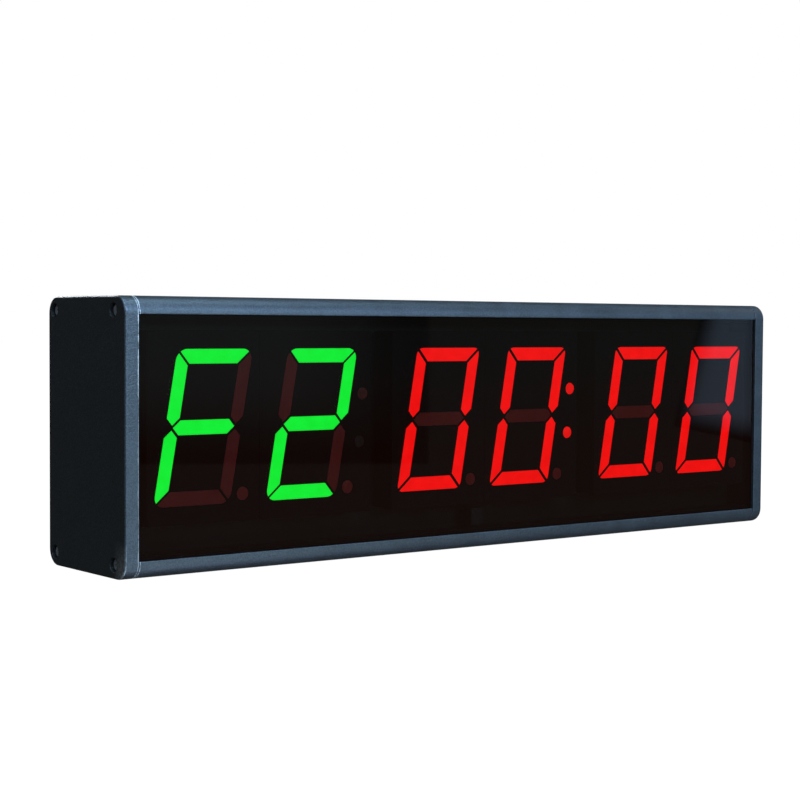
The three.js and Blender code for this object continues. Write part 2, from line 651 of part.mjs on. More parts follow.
// A chip lying on the board: a body with a comb of legs along two or all four of its sides
function chip({ width, height, thickness, legs }, allSides) {
  const { length, width: legWidth, lift } = CHIP_LEG;
  const legDepth = standing(thickness / 2);
  const legRange = (side, size) => around(side * (size / 2 + length / 2 - legWidth / 2), length + legWidth);
  const pieces = [block(around(0, width), [PART_FRONT + lift, PART_FRONT + thickness], around(0, height))];
  for (const side of [-1, 1]) {
    for (let i = 0; i < legs; i += 1) {
      const step = (i - (legs - 1) / 2) / (legs - 1);
      pieces.push(block(around(step * (width - 2 * legWidth), legWidth), legDepth, legRange(side, height)));
      if (allSides) {
        pieces.push(block(legRange(side, width), legDepth, around(step * (height - 2 * legWidth), legWidth)));
      }
    }
  }
  return join(pieces);
}

function setOnBoard(name, geometry, finish, { x, z }) {
  place(name, geometry, finish).position.set(x, 0, z);
}

setOnBoard('microcontroller', chip(MICROCONTROLLER, true), 'black', MICROCONTROLLER);
setOnBoard('upper_driver_chip', chip(DRIVER, false), 'black', { x: DRIVER.x, z: DRIVER.upperZ });
setOnBoard('lower_driver_chip', chip(DRIVER, false), 'black', { x: DRIVER.x, z: DRIVER.lowerZ });
setOnBoard('clock_crystal', upright(CRYSTAL, ROUND_SMALL), 'zinc', CRYSTAL);
setOnBoard('smoothing_capacitor', upright(CAPACITOR), 'black', CAPACITOR);
setOnBoard('voltage_regulator', join([
  block(around(0, REGULATOR.width), standing(REGULATOR.thickness), around(0, REGULATOR.height)),
  block(around(0, REGULATOR.width), standing(REGULATOR.tabThickness), [0, REGULATOR.tabTop]),
]), 'black', REGULATOR);

function powerConnector() {
  const { width, height, depth, wall, floor } = CONNECTOR;
  const hollow = [PART_FRONT + floor, PART_FRONT + depth + OVER];
  return cut(block(around(0, width), standing(depth), around(0, height)),
    [block(around(0, width - 2 * wall), hollow, around(0, height - 2 * wall))]);
}

function buzzer() {
  const { height, floor, mouthRadius } = BUZZER;
  const mouth = rodAlongY(mouthRadius, 0, [PART_FRONT + floor, PART_FRONT + height + OVER], 0, ROUND_SMALL);
  return cut(upright(BUZZER), [mouth]);
}

function cellHolder() {
  const { radius, holder, holderDepth, floor } = CELL;
  return cut(block(around(0, holder), standing(holderDepth), around(0, holder)),
    [rodAlongY(radius + FIT, 0, [PART_FRONT + floor, PART_FRONT + holderDepth + OVER], 0)]);
}

const cellFront = PART_FRONT + CELL.floor + FIT;
setOnBoard('power_connector', powerConnector(), 'cream', CONNECTOR);
setOnBoard('buzzer', buzzer(), 'black', BUZZER);
setOnBoard('coin_cell_holder', cellHolder(), 'black', CELL);
setOnBoard('coin_cell', rodAlongY(CELL.radius, 0, [cellFront, cellFront + CELL.thickness], 0), 'zinc', CELL);

function irReceiver() {
  const { pitch, width: legWidth, front: legFront } = RECEIVER_LEG;
  const legs = [-pitch, 0, pitch].map((x) => (
    block(around(x, legWidth), [legFront, BOARD_FRONT - FIT], around(0, legWidth))));
  const { width, height, front, back } = RECEIVER;
  return join([block(around(0, width), [front, back], around(0, height)), ...legs]);
}

place('ir_receiver', irReceiver(), 'black').position.set(0, 0, RECEIVER.z);

// ---------------------------------------------------------------------------
// Inner leads, each whole from end to end
// ---------------------------------------------------------------------------
function lead(name, finish, points) {
  const vertices = points.map((point) => new THREE.Vector3(...point));
  const path = new THREE.CatmullRomCurve3(vertices, false, 'centripetal');
  const section = new THREE.Shape();
  section.absarc(0, 0, LEAD_RADIUS, 0, 2 * Math.PI, false);
  const steps = Math.ceil(path.getLength() / (5 * LEAD_RADIUS));
  place(name, new THREE.ExtrudeGeometry(section, { steps, extrudePath: path, curveSegments: 8 }), finish);
}

const tabEnd = BEZEL_BACK - SWITCH_BODY.depth - SWITCH_TAB.length - 2 * FIT;
const pinEnd = pinRange[0] - 2 * FIT;
const sleeveEnd = JACK_BACK_X - 2 * FIT;
const sleeveDrop = 4;         // the sleeve's contact is this far under the pin
const socketDepth = PART_FRONT + 2;
const socketHalf = 3;         // the connector's two wires, each side of its middle

// From the inlet's pin up to the lower tab of the switch
lead('jack_to_switch_lead', 'redLead', [
  [pinEnd, POCKET_Y, JACK_Z],
  [pinEnd - 5, POCKET_Y, JACK_Z + 2],
  [pinEnd - 8, POCKET_Y, (JACK_Z + SWITCH_Z) / 2],
  [tabEnd - 5, POCKET_Y, SWITCH_Z - SWITCH_TAB.offset - 2],
  [tabEnd, POCKET_Y, SWITCH_Z - SWITCH_TAB.offset],
]);

// From the upper tab of the switch across to the board
lead('switch_to_board_lead', 'redLead', [
  [tabEnd, POCKET_Y, SWITCH_Z + SWITCH_TAB.offset],
  [tabEnd - 6, POCKET_Y, SWITCH_Z + SWITCH_TAB.offset + 1],
  [tabEnd - 14, POCKET_Y + 4, SWITCH_Z + 2],
  [CONNECTOR.x + 5, POCKET_Y + 4, CONNECTOR.z + 4],
  [CONNECTOR.x + socketHalf, 0, CONNECTOR.z],
  [CONNECTOR.x + socketHalf, socketDepth, CONNECTOR.z],
]);

// From the inlet's sleeve contact straight to the board
lead('jack_to_board_lead', 'black', [
  [sleeveEnd, POCKET_Y, JACK_Z - sleeveDrop],
  [sleeveEnd - 6.6, POCKET_Y, JACK_Z - sleeveDrop - 1],
  [CONNECTOR.x + 16, POCKET_Y + 3, JACK_Z + 1],
  [CONNECTOR.x + 4, POCKET_Y + 2, CONNECTOR.z - 2],
  [CONNECTOR.x - socketHalf, 0, CONNECTOR.z],
  [CONNECTOR.x - socketHalf, socketDepth, CONNECTOR.z],
]);

export default timer;
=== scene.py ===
"""A gym round timer: six seven-segment digits behind a dark window, in a painted extruded housing.
Lengths are in millimetres and every mesh is scaled to metres as it becomes a piece. X runs along the
timer, the window faces -Y, and Z is up from its flat bottom."""

import math

import bmesh
import bpy
from mathutils import Matrix, Vector


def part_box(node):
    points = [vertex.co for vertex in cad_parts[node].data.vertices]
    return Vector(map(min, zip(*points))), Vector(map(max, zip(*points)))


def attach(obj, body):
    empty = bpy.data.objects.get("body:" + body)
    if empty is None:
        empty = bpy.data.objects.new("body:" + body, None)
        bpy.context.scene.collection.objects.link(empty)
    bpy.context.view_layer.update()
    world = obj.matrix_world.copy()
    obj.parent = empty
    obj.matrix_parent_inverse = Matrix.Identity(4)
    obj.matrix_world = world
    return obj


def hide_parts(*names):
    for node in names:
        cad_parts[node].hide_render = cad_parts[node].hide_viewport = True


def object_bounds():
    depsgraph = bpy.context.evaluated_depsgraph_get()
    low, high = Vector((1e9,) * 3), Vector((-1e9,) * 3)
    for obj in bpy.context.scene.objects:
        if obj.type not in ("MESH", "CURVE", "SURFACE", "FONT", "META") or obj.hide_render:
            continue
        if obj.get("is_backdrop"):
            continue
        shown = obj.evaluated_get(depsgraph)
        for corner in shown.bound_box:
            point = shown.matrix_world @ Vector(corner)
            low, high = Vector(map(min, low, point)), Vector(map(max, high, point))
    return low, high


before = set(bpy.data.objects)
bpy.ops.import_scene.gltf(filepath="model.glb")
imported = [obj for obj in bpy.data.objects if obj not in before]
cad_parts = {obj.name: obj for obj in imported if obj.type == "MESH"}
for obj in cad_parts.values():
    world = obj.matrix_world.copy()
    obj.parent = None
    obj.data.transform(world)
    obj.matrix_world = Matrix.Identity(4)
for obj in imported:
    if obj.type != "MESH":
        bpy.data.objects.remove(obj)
cad_low, cad_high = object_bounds()

MM = 0.001

# ---------------------------------------------------------------------------------------------------
# Sizes
# ---------------------------------------------------------------------------------------------------
END = cad_high.x / MM                 # half the width
FRONT, BACK = cad_low.y / MM, cad_high.y / MM
HEIGHT = cad_high.z / MM
MIDDLE_Z = HEIGHT / 2
CORNER_RADIUS = 6.2

CAP_INNER = END - 5.7                 # where each end cap begins, from the middle
HOUSING_END = CAP_INNER - 0.3
CAP_EDGE = 0.8                        # rounding of the caps' outer edges
CAP_LAP = 1.5                         # a cap's inner, sharper part reaches this far under its outer face
SCREW_EDGE = 5.1                      # from a screw to the top or the bottom
SCREW_PLACES = [(y, z) for z in (SCREW_EDGE, HEIGHT - SCREW_EDGE) for y in (FRONT + 8.3, BACK - 4.8)]
COUNTERBORE_RADIUS, COUNTERBORE_DEPTH = 2.5, 3.2
SCREW_HOLE_RADIUS, PILOT_RADIUS = 1.4, 1.25

WALL = 1.8
LIP_Z = 6.5                           # height of the lips that frame the window
LIP_BACK = FRONT + 0.9
SLOT_Z, SLOT_BACK = 4.0, FRONT + 2.6  # the slot that holds the window
RIB_Z, RIB_BACK = 7.0, FRONT + 4.0
PORT_Z = 8.0                          # the bosses that the screws run into
BOARD_RIB_Z, BOARD_RIB = 5.0, 1.2     # the ribs that hold the board: their height and thickness
BOARD_PLAY = 0.2
COAT_DEPTH = 1.5                      # how far in from the outside the coat's colour reaches; deeper in, the colour is near-black painted shade

TRACK_Z, TRACK_MOUTH, TRACK_WIDTH, TRACK_HEAD = 78.0, 16.0, 22.0, 19.0
TRACK_LIP_FRONT, TRACK_PLATE_FRONT, TRACK_FLOOR = BACK - 1.6, BACK - 3.5, BACK - 8
TRACK_BOX = 25.2                      # the track's walls, measured across from the inside

BOARD_FRONT, BOARD_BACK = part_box("display_board")[0].y / MM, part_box("display_board")[1].y / MM

POCKET_Y, POCKET_Z, POCKET_WIDTH, POCKET_HEIGHT, POCKET_FLOOR = 5.0, 33.0, 17.0, 38.0, END - 4
SWITCH_Z, JACK_Z = 41.5, 23.0
PIVOT_X, TILT = 162.4, math.radians(11)

# ---------------------------------------------------------------------------------------------------
# Outlines: lists of (across, up) points
# ---------------------------------------------------------------------------------------------------
def arc(centre, radius, start, end, steps):
    """Points round part of a circle, from one angle to another in degrees."""
    angles = [math.radians(start + (end - start) * i / steps) for i in range(steps + 1)]
    return [(centre[0] + radius * math.cos(a), centre[1] + radius * math.sin(a)) for a in angles]


def circle(centre, radius, steps=32):
    return arc(centre, radius, 0, 360, steps)[:-1]


def filleted(corners, turn_per_step=9.0):
    """An outline whose corners, given as (across, up, radius), are rounded to that radius."""
    points = []
    for i, (u, v, radius) in enumerate(corners):
        here = Vector((u, v))
        if radius <= 0:
            points.append((u, v))
            continue
        before = (Vector(corners[i - 1][:2]) - here).normalized()
        after = (Vector(corners[(i + 1) % len(corners)][:2]) - here).normalized()
        half = before.angle(after) / 2
        centre = here + (before + after).normalized() * radius / math.sin(half)
        start = here + before * radius / math.tan(half) - centre
        end = here + after * radius / math.tan(half) - centre
        sweep = math.atan2(start.x * end.y - start.y * end.x, start.dot(end))
        steps = max(2, round(abs(math.degrees(sweep)) / turn_per_step))
        first = math.atan2(start.y, start.x)
        for k in range(steps + 1):
            angle = first + sweep * k / steps
            points.append((centre.x + radius * math.cos(angle), centre.y + radius * math.sin(angle)))
    return points


def rectangle(centre, width, height, radius):
    corners = ((-1, -1), (1, -1), (1, 1), (-1, 1))
    return filleted([(centre[0] + u * width / 2, centre[1] + v * height / 2, radius) for u, v in corners])


# ---------------------------------------------------------------------------------------------------
# Meshes
# ---------------------------------------------------------------------------------------------------
SAME_POINT = 1e-3                     # points closer than this are one point
SHARP_ANGLE = math.radians(32)        # edges that turn more than this are shaded as edges
BEVELLED_ANGLE = math.radians(40)     # edges of a CAD node that turn more than this are rounded
FLAT_ANGLE = math.radians(1)          # facets that differ less than this are one face

# Outlines lie in Y and Z and go along X, or lie in X and Z and go against Y
ALONG = {
    "x": Matrix(((0, 0, 1, 0), (1, 0, 0, 0), (0, 1, 0, 0), (0, 0, 0, 1))),
    "y": Matrix(((1, 0, 0, 0), (0, 0, -1, 0), (0, 1, 0, 0), (0, 0, 0, 1))),
}
TURNED_ALONG = {
    "x": ALONG["x"],
    "y": Matrix(((0, 1, 0, 0), (0, 0, 1, 0), (1, 0, 0, 0), (0, 0, 0, 1))),
}


def evaluated(obj):
    """What an object shows as a mesh of its own. The object is then removed."""
    graph = bpy.context.evaluated_depsgraph_get()
    mesh = bpy.data.meshes.new_from_object(obj.evaluated_get(graph))
    bpy.data.objects.remove(obj)
    return mesh


def holder(data):
    obj = bpy.data.objects.new("working", data)
    bpy.context.scene.collection.objects.link(obj)
    return obj


def cleaned(mesh):
    """The mesh with doubled points merged, and its open edges split where another point lies on them."""
    bm = bmesh.new()
    bm.from_mesh(mesh)
    bmesh.ops.remove_doubles(bm, verts=bm.verts, dist=SAME_POINT)
    open_edges = [edge for edge in bm.edges if edge.is_boundary]
    corners = list(dict.fromkeys(vertex for edge in open_edges for vertex in edge.verts))
    for edge in open_edges:
        start, end = (vertex.co.copy() for vertex in edge.verts)
        for vertex in (corner for corner in corners if corner not in edge.verts):
            share = (vertex.co - start).dot(end - start) / (end - start).length_squared
            if 0 < share < 1 and (start.lerp(end, share) - vertex.co).length < SAME_POINT:
                bmesh.utils.edge_split(edge, edge.verts[0], share)
                break
    bmesh.ops.remove_doubles(bm, verts=bm.verts, dist=SAME_POINT)
    bmesh.ops.recalc_face_normals(bm, faces=bm.faces)
    bm.to_mesh(mesh)
    bm.free()
    return mesh


def plate(outlines, span, axis, edge=0.2, steps=2):
    """The first outline as a solid, with the others as holes through it, and its edges rounded."""
    low, high = span
    curve = bpy.data.curves.new("outline", "CURVE")
    curve.dimensions = "2D"
    curve.fill_mode = "BOTH"
    curve.extrude = (high - low) / 2 - edge
    curve.bevel_depth = edge
    curve.bevel_resolution = steps
    curve.offset = -edge
    for outline in outlines:
        spline = curve.splines.new("POLY")
        spline.points.add(len(outline) - 1)
        for point, (u, v) in zip(spline.points, outline):
            point.co = (u, v, 0, 1)
        spline.use_cyclic_u = True
    mesh = cleaned(evaluated(holder(curve)))
    middle = (low + high) / 2 * (1 if axis == "x" else -1)
    mesh.transform(ALONG[axis] @ Matrix.Translation((0, 0, middle)))
    return mesh


def turned(profile, place, axis, sides=40):
    """A solid turned round an axis through place: profile is (distance along, radius) from end to end."""
    verts, rings = [], []
    for along, radius in profile:
        if radius == 0:
            rings.append([len(verts)] * sides)
            verts.append((0, 0, along))
            continue
        rings.append(list(range(len(verts), len(verts) + sides)))
        verts += [(radius * math.cos(a), radius * math.sin(a), along)
                  for a in (2 * math.pi * i / sides for i in range(sides))]
    faces = []
    for near, far in zip(rings, rings[1:]):
        for i in range(sides):
            corners = [near[i], near[(i + 1) % sides], far[(i + 1) % sides], far[i]]
            corners = list(dict.fromkeys(corners))
            if len(corners) > 2:
                faces.append(corners)
    mesh = bpy.data.meshes.new("turned")
    mesh.from_pydata(verts, [], faces)
    mesh.transform(Matrix.Translation(place) @ TURNED_ALONG[axis])
    return cleaned(mesh)


def box(x, y, z):
    mesh = bpy.data.meshes.new("box")
    bm = bmesh.new()
    bmesh.ops.create_cube(bm, size=1)
    bm.to_mesh(mesh)
    bm.free()
    size = (x[1] - x[0], y[1] - y[0], z[1] - z[0])
    middle = (sum(x) / 2, sum(y) / 2, sum(z) / 2)
    mesh.transform(Matrix.Translation(middle) @ Matrix.Diagonal((*size, 1)))
    return mesh


def combined(mesh, others, operation):
    """mesh with each of the others cut out of it (DIFFERENCE) or added to it (UNION)."""
    base = holder(mesh)
    tools = [holder(other) for other in others]
    for tool in tools:
        step = base.modifiers.new("combine", "BOOLEAN")
        step.operation, step.solver, step.object = operation, "EXACT", tool
    result = evaluated(base)
    for tool in tools:
        bpy.data.objects.remove(tool)
    return cleaned(result)


def merged(meshes):
    """Separate shells in one mesh."""
    bm = bmesh.new()
    for mesh in meshes:
        bm.from_mesh(mesh)
    result = bpy.data.meshes.new("merged")
    bm.to_mesh(result)
    bm.free()
    return result


def piece(name, mesh, finish, nodes, body="case"):
    """The mesh becomes a shown piece that stands for CAD nodes and rides on their body."""
    mesh.transform(Matrix.Scale(MM, 4))
    mesh.materials.clear()
    mesh.materials.append(finish)
    mesh.polygons.foreach_set("use_smooth", [True] * len(mesh.polygons))
    mesh.set_sharp_from_angle(angle=SHARP_ANGLE)
    mesh.name = name
    obj = bpy.data.objects.new(name, mesh)
    bpy.context.scene.collection.objects.link(obj)
    weighted = obj.modifiers.new("even_shading", "WEIGHTED_NORMAL")
    weighted.keep_sharp = True
    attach(obj, body)
    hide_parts(*nodes)
    return obj


def refined(node, finish, edge=0.15, body="case"):
    """A piece with the CAD node's own shape, its flat faces whole and its edges rounded."""
    bm = bmesh.new()
    bm.from_mesh(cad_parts[node].data)
    bmesh.ops.scale(bm, vec=(1 / MM,) * 3, verts=bm.verts)
    bmesh.ops.remove_doubles(bm, verts=bm.verts, dist=SAME_POINT)
    bmesh.ops.dissolve_limit(bm, angle_limit=FLAT_ANGLE, verts=bm.verts, edges=bm.edges)
    bmesh.ops.recalc_face_normals(bm, faces=bm.faces)
    if edge:
        sharp = [e for e in bm.edges if len(e.link_faces) == 2 and e.calc_face_angle() > BEVELLED_ANGLE]
        bmesh.ops.bevel(bm, geom=sharp, offset=edge, offset_type="OFFSET", segments=2, profile=0.5,
                        affect="EDGES", clamp_overlap=True)
        bmesh.ops.dissolve_degenerate(bm, edges=bm.edges, dist=SAME_POINT)
        bmesh.ops.remove_doubles(bm, verts=bm.verts, dist=SAME_POINT)
    mesh = bpy.data.meshes.new(node)
    bm.to_mesh(mesh)
    bm.free()
    return piece(f"{node}_finished", mesh, finish, [node], body)


# ---------------------------------------------------------------------------------------------------
# Finishes
# ---------------------------------------------------------------------------------------------------
MIX_COLOUR_INPUTS, MIX_COLOUR_RESULT = (0, 6, 7), 2    # a Mix node's own numbers for its sockets


class Finish:
    """One material, built round its Principled shader. Sizes of patterns are in millimetres."""

    def __init__(self, name, roughness, metallic=0.0, sockets=()):
        self.material = bpy.data.materials.new(name)
        self.material.use_nodes = True
        self.tree = self.material.node_tree
        self.shader = self.tree.nodes["Principled BSDF"]
        self.shader.inputs["Roughness"].default_value = roughness
        self.shader.inputs["Metallic"].default_value = metallic
        for key, value in dict(sockets).items():
            self.shader.inputs[key].default_value = value
        self.place = self.node("ShaderNodeTexCoord").outputs["Object"]

    def node(self, kind, inputs=(), **settings):
        made = self.tree.nodes.new(kind)
        for key, value in settings.items():
            setattr(made, key, value)
        for key, value in dict(inputs).items():
            self.set(made.inputs[key], value)
        return made

    def set(self, socket, value):
        if isinstance(value, bpy.types.NodeSocket):
            self.tree.links.new(value, socket)
        elif socket.type == "RGBA" and len(value) == 3:
            socket.default_value = (*value, 1)
        else:
            socket.default_value = value

    def stretched(self, stretch):
        """The surface's own coordinates, with patterns drawn out along an axis by that factor."""
        scale = tuple(1 / s for s in stretch)
        return self.node("ShaderNodeMapping", {"Vector": self.place, "Scale": scale}).outputs["Vector"]

    def noise(self, size, detail=3, roughness=0.5, stretch=(1, 1, 1)):
        return self.node("ShaderNodeTexNoise", {
            "Vector": self.stretched(stretch), "Scale": 1 / (size * MM), "Detail": detail,
            "Roughness": roughness}).outputs["Fac"]

    def cells(self, size):
        return self.node("ShaderNodeTexVoronoi", {
            "Vector": self.place, "Scale": 1 / (size * MM)}).outputs["Distance"]

    def span(self, value, low, high, start=0.0, end=1.0):
        """value between low and high, drawn out to run from start to end and held there."""
        return self.node("ShaderNodeMapRange", {
            "Value": value, "From Min": low, "From Max": high, "To Min": start,
            "To Max": end}).outputs["Result"]

    def math(self, operation, first, second=0.0):
        return self.node("ShaderNodeMath", {0: first, 1: second}, operation=operation).outputs[0]

    def blend(self, factor, first, second):
        made = self.node("ShaderNodeMix", data_type="RGBA")
        for socket, value in zip(MIX_COLOUR_INPUTS, (factor, first, second)):
            self.set(made.inputs[socket], value)
        return made.outputs[MIX_COLOUR_RESULT]

    def along(self, axis):
        """Distance from the part's origin along one axis, in millimetres."""
        split = self.node("ShaderNodeSeparateXYZ", {"Vector": self.place})
        return self.math("MULTIPLY", split.outputs[axis], 1 / MM)

    def colour(self, value):
        self.set(self.shader.inputs["Base Color"], value)

    def rough(self, value):
        self.set(self.shader.inputs["Roughness"], value)

    def bump(self, height, depth, strength=1.0):
        made = self.node("ShaderNodeBump", {
            "Height": height, "Distance": depth * MM, "Strength": strength})
        self.set(self.shader.inputs["Normal"], made.outputs["Normal"])


SLATE = (0.070, 0.085, 0.105)
SLATE_PALE = (0.095, 0.115, 0.142)
BARE_METAL = (0.62, 0.68, 0.76)
# near-black painted shade for the inside of the housing and caps, where the coat's colour stops
INSIDE_PAINTED_SHADE = (0.004, 0.004, 0.005)
PEEL_SIZE, PEEL_DEPTH = 0.55, 0.09    # the coat's grain
BESIDE = 0.2                          # how far the coat runs past the track's walls


def painted(name, seam):
    """Satin powder coat with a fine orange-peel grain, rubbed through to the metal in places. The seam is
    where the paint has worn off, as a distance from the middle along X. Inside, away from the outer skin
    and the track, the colour is near-black painted shade."""
    f = Finish(name, 0.42, 0.8)
    patches = f.span(f.noise(14, 4), 0.35, 0.7)
    speck = f.span(f.noise(PEEL_SIZE, 2), 0.35, 0.65, -1.2, 2.2)
    tone = f.math("ADD", f.math("MULTIPLY", patches, 0.4), f.math("MULTIPLY", speck, 0.6))
    body = f.blend(tone, SLATE, SLATE_PALE)
    past_y = f.math("SUBTRACT", f.math("ABSOLUTE", f.along("Y")), BACK - CORNER_RADIUS)
    past_z = f.math("SUBTRACT", f.math("ABSOLUTE", f.math("SUBTRACT", f.along("Z"), MIDDLE_Z)),
                    MIDDLE_Z - CORNER_RADIUS)
    squares = [f.math("POWER", f.math("MAXIMUM", past, 0.0), 2.0) for past in (past_y, past_z)]
    from_corner = f.math("SQRT", f.math("ADD", *squares))
    on_skin = f.math("GREATER_THAN", from_corner, CORNER_RADIUS - COAT_DEPTH)
    on_cap_face = f.math("GREATER_THAN", f.math("ABSOLUTE", f.along("X")), POCKET_FLOOR - 0.5)
    track_side = f.math("ABSOLUTE", f.math("SUBTRACT", f.along("Z"), TRACK_Z))
    in_track = f.math("MULTIPLY", f.math("LESS_THAN", track_side, TRACK_WIDTH / 2 + BESIDE),
                      f.math("GREATER_THAN", f.along("Y"), TRACK_FLOOR - BESIDE))
    outside = f.math("MAXIMUM", f.math("MAXIMUM", on_skin, on_cap_face), in_track)
    scratch = f.span(f.noise(0.5, 2, 0.5, (30, 30, 1)), 0.70, 0.74, 0.0, 0.35)
    # Away from the outer skin, the cap faces and the track, the colour is near-black: painted shade for
    # the unlit inside.
    shown = f.blend(outside, INSIDE_PAINTED_SHADE, f.blend(scratch, body, SLATE_PALE))
    f.colour(f.blend(f.math("MULTIPLY", rubbed_through(f, seam), outside), shown, BARE_METAL))
    f.rough(f.span(f.noise(9, 3), 0.3, 0.7, 0.38, 0.5))
    f.bump(f.math("ADD", f.noise(PEEL_SIZE, 2), f.math("MULTIPLY", f.noise(1.6, 2), 0.5)), PEEL_DEPTH)
    return f.material


def rubbed_through(f, seam):
    """How far the paint has gone: along the left cap's seam, most at its top and bottom, and round that
    cap's lower front edge."""
    across, depth, height = f.along("X"), f.along("Y"), f.along("Z")
    from_middle = f.math("ABSOLUTE", across)
    reach = f.span(f.noise(5, 5, 0.65), 0.3, 0.75, 0.05, 0.75)
    beside_seam = f.math("LESS_THAN", f.math("ABSOLUTE", f.math("SUBTRACT", from_middle, seam)), reach)
    chips = f.math("MULTIPLY", beside_seam, f.span(f.noise(1.2, 3), 0.3, 0.45))
    ends = f.span(f.math("ABSOLUTE", f.math("SUBTRACT", height, MIDDLE_Z - 15)), 15, 50, 0.35, 1.0)
    low_corner = f.math("MULTIPLY", f.span(height, 14, 4), f.span(depth, FRONT + 8, FRONT + 3))
    at_edge = f.math("GREATER_THAN", from_middle, END - CAP_EDGE)
    worn = f.span(f.noise(1.5, 3), 0.3, 0.6, 0.15, 0.6)
    scuff = f.math("MULTIPLY", f.math("MULTIPLY", low_corner, at_edge), worn)
    gone = f.math("MAXIMUM", f.math("MULTIPLY", chips, ends), scuff)
    return f.math("MULTIPLY", gone, f.math("LESS_THAN", across, 0.0))


def smoked_window():
    """Tinted acrylic: dark, clear and glossy, with a little dust on it and a browner cast low down."""
    f = Finish("smoked_acrylic", 0.03, 0.0, {"Alpha": 0.45, "IOR": 1.49, "Specular IOR Level": 0.9})
    dust = f.math("MULTIPLY", f.span(f.cells(2.6), 0.06, 0.03), f.span(f.noise(25, 2), 0.5, 0.62))
    cast = f.blend(f.span(f.along("Z"), 80, 40), (0.0060, 0.0040, 0.0030), (0.0098, 0.0022, 0.0010))
    f.colour(f.blend(f.math("MULTIPLY", dust, 0.5), cast, (0.12, 0.12, 0.13)))
    f.rough(f.span(f.noise(30, 4), 0.35, 0.7, 0.015, 0.04))
    f.bump(f.noise(60, 1), 0.02, 0.3)
    return f.material


def black_plastic(name, colour=(0.012, 0.012, 0.013), roughness=0.5, grain=0.4, gloss=0.5):
    """Moulded plastic with a fine even texture."""
    f = Finish(name, roughness, 0.0, {"Specular IOR Level": gloss})
    pale = tuple(c * 1.7 for c in colour)
    f.colour(f.blend(f.span(f.noise(6, 4), 0.4, 0.7), colour, pale))
    f.rough(f.span(f.noise(2.5, 3), 0.3, 0.7, roughness - 0.07, roughness + 0.09))
    f.bump(f.noise(grain, 2), 0.02, 0.4)
    return f.material


def resin(name, colour, edge_colour):
    """Cloudy cast resin, a little uneven in depth of colour."""
    f = Finish(name, 0.45)
    f.colour(f.blend(f.span(f.noise(3.5, 3), 0.35, 0.7), colour, edge_colour))
    f.rough(f.span(f.noise(1.5, 2), 0.3, 0.7, 0.38, 0.52))
    f.bump(f.noise(0.6, 2), 0.02, 0.3)
    return f.material


def glowing(name, colour, core):
    """Lit resin: colour where the light is thin and core where it is thick."""
    f = Finish(name, 0.5)
    unlit, unlit_core = (tuple(c * share for c in tint) for tint, share in ((colour, 0.3), (core, 0.4)))
    f.colour(f.blend(f.noise(3, 2), unlit, unlit_core))
    f.set(f.shader.inputs["Emission Color"], f.blend(f.span(f.noise(5, 2), 0.3, 0.7), colour, core))
    f.shader.inputs["Emission Strength"].default_value = LIT_STRENGTH
    f.rough(f.span(f.noise(1.5, 2), 0.3, 0.7, 0.4, 0.55))
    f.bump(f.noise(0.6, 2), 0.02, 0.2)
    return f.material


def metal(name, colour, dark, roughness, stretch=(1, 1, 1), metallic=1.0):
    """Plated or blackened metal with faint tooling marks and stains."""
    f = Finish(name, roughness, metallic)
    f.colour(f.blend(f.span(f.noise(2.2, 5, 0.6), 0.3, 0.75), colour, dark))
    f.rough(f.span(f.noise(1.2, 3, 0.5, stretch), 0.3, 0.7, roughness - 0.1, roughness + 0.12))
    f.bump(f.noise(0.25, 2, 0.5, stretch), 0.006, 0.5)
    return f.material


def circuit_board():
    """Solder mask over copper: straight tracks and plane areas show as a slightly lighter green."""
    f = Finish("solder_mask", 0.4)
    tracks = f.node("ShaderNodeTexBrick", {
        "Vector": f.stretched((1, 1, 1)), "Scale": 1 / (22 * MM), "Mortar Size": 0.035,
        "Brick Width": 0.9, "Row Height": 0.16, "Color1": (0, 0, 0), "Color2": (0, 0, 0),
        "Mortar": (1, 1, 1)}).outputs["Fac"]
    copper = f.span(f.noise(18, 1), 0.5, 0.52)
    base = f.blend(f.noise(8, 3), (0.003, 0.006, 0.004), (0.005, 0.009, 0.006))
    f.colour(f.blend(f.math("MAXIMUM", f.math("MULTIPLY", tracks, 0.6), f.math("MULTIPLY", copper, 0.3)),
                     base, (0.008, 0.018, 0.010)))
    f.rough(f.span(f.noise(4, 3), 0.3, 0.7, 0.32, 0.46))
    f.bump(tracks, 0.03, 0.5)
    return f.material


LIT_STRENGTH = 3.3
PAINT = painted("slate_powder_coat", HOUSING_END)
CAP_PAINT = painted("slate_powder_coat_caps", CAP_INNER)
WINDOW = smoked_window()
SHELL = black_plastic("matt_black_shell", (0.003, 0.003, 0.003), 0.6, 0.5, 0.08)
BLACK = black_plastic("moulded_black")
SWITCH = black_plastic("switch_black", (0.010, 0.010, 0.011), 0.38, 0.3)
CREAM = black_plastic("cream_nylon", (0.55, 0.52, 0.42), 0.45, 0.5)
UNLIT = resin("unlit_resin", (0.31, 0.010, 0.007), (0.37, 0.018, 0.014))
GREEN = glowing("lit_green_resin", (0.0, 0.76, 0.024), (0.001, 0.83, 0.034))
RED = glowing("lit_red_resin", (0.76, 0.0008, 0.0008), (0.86, 0.002, 0.0015))
RED_LAMP = glowing("lit_lamp_resin", (0.60, 0.001, 0.001), (0.80, 0.006, 0.004))
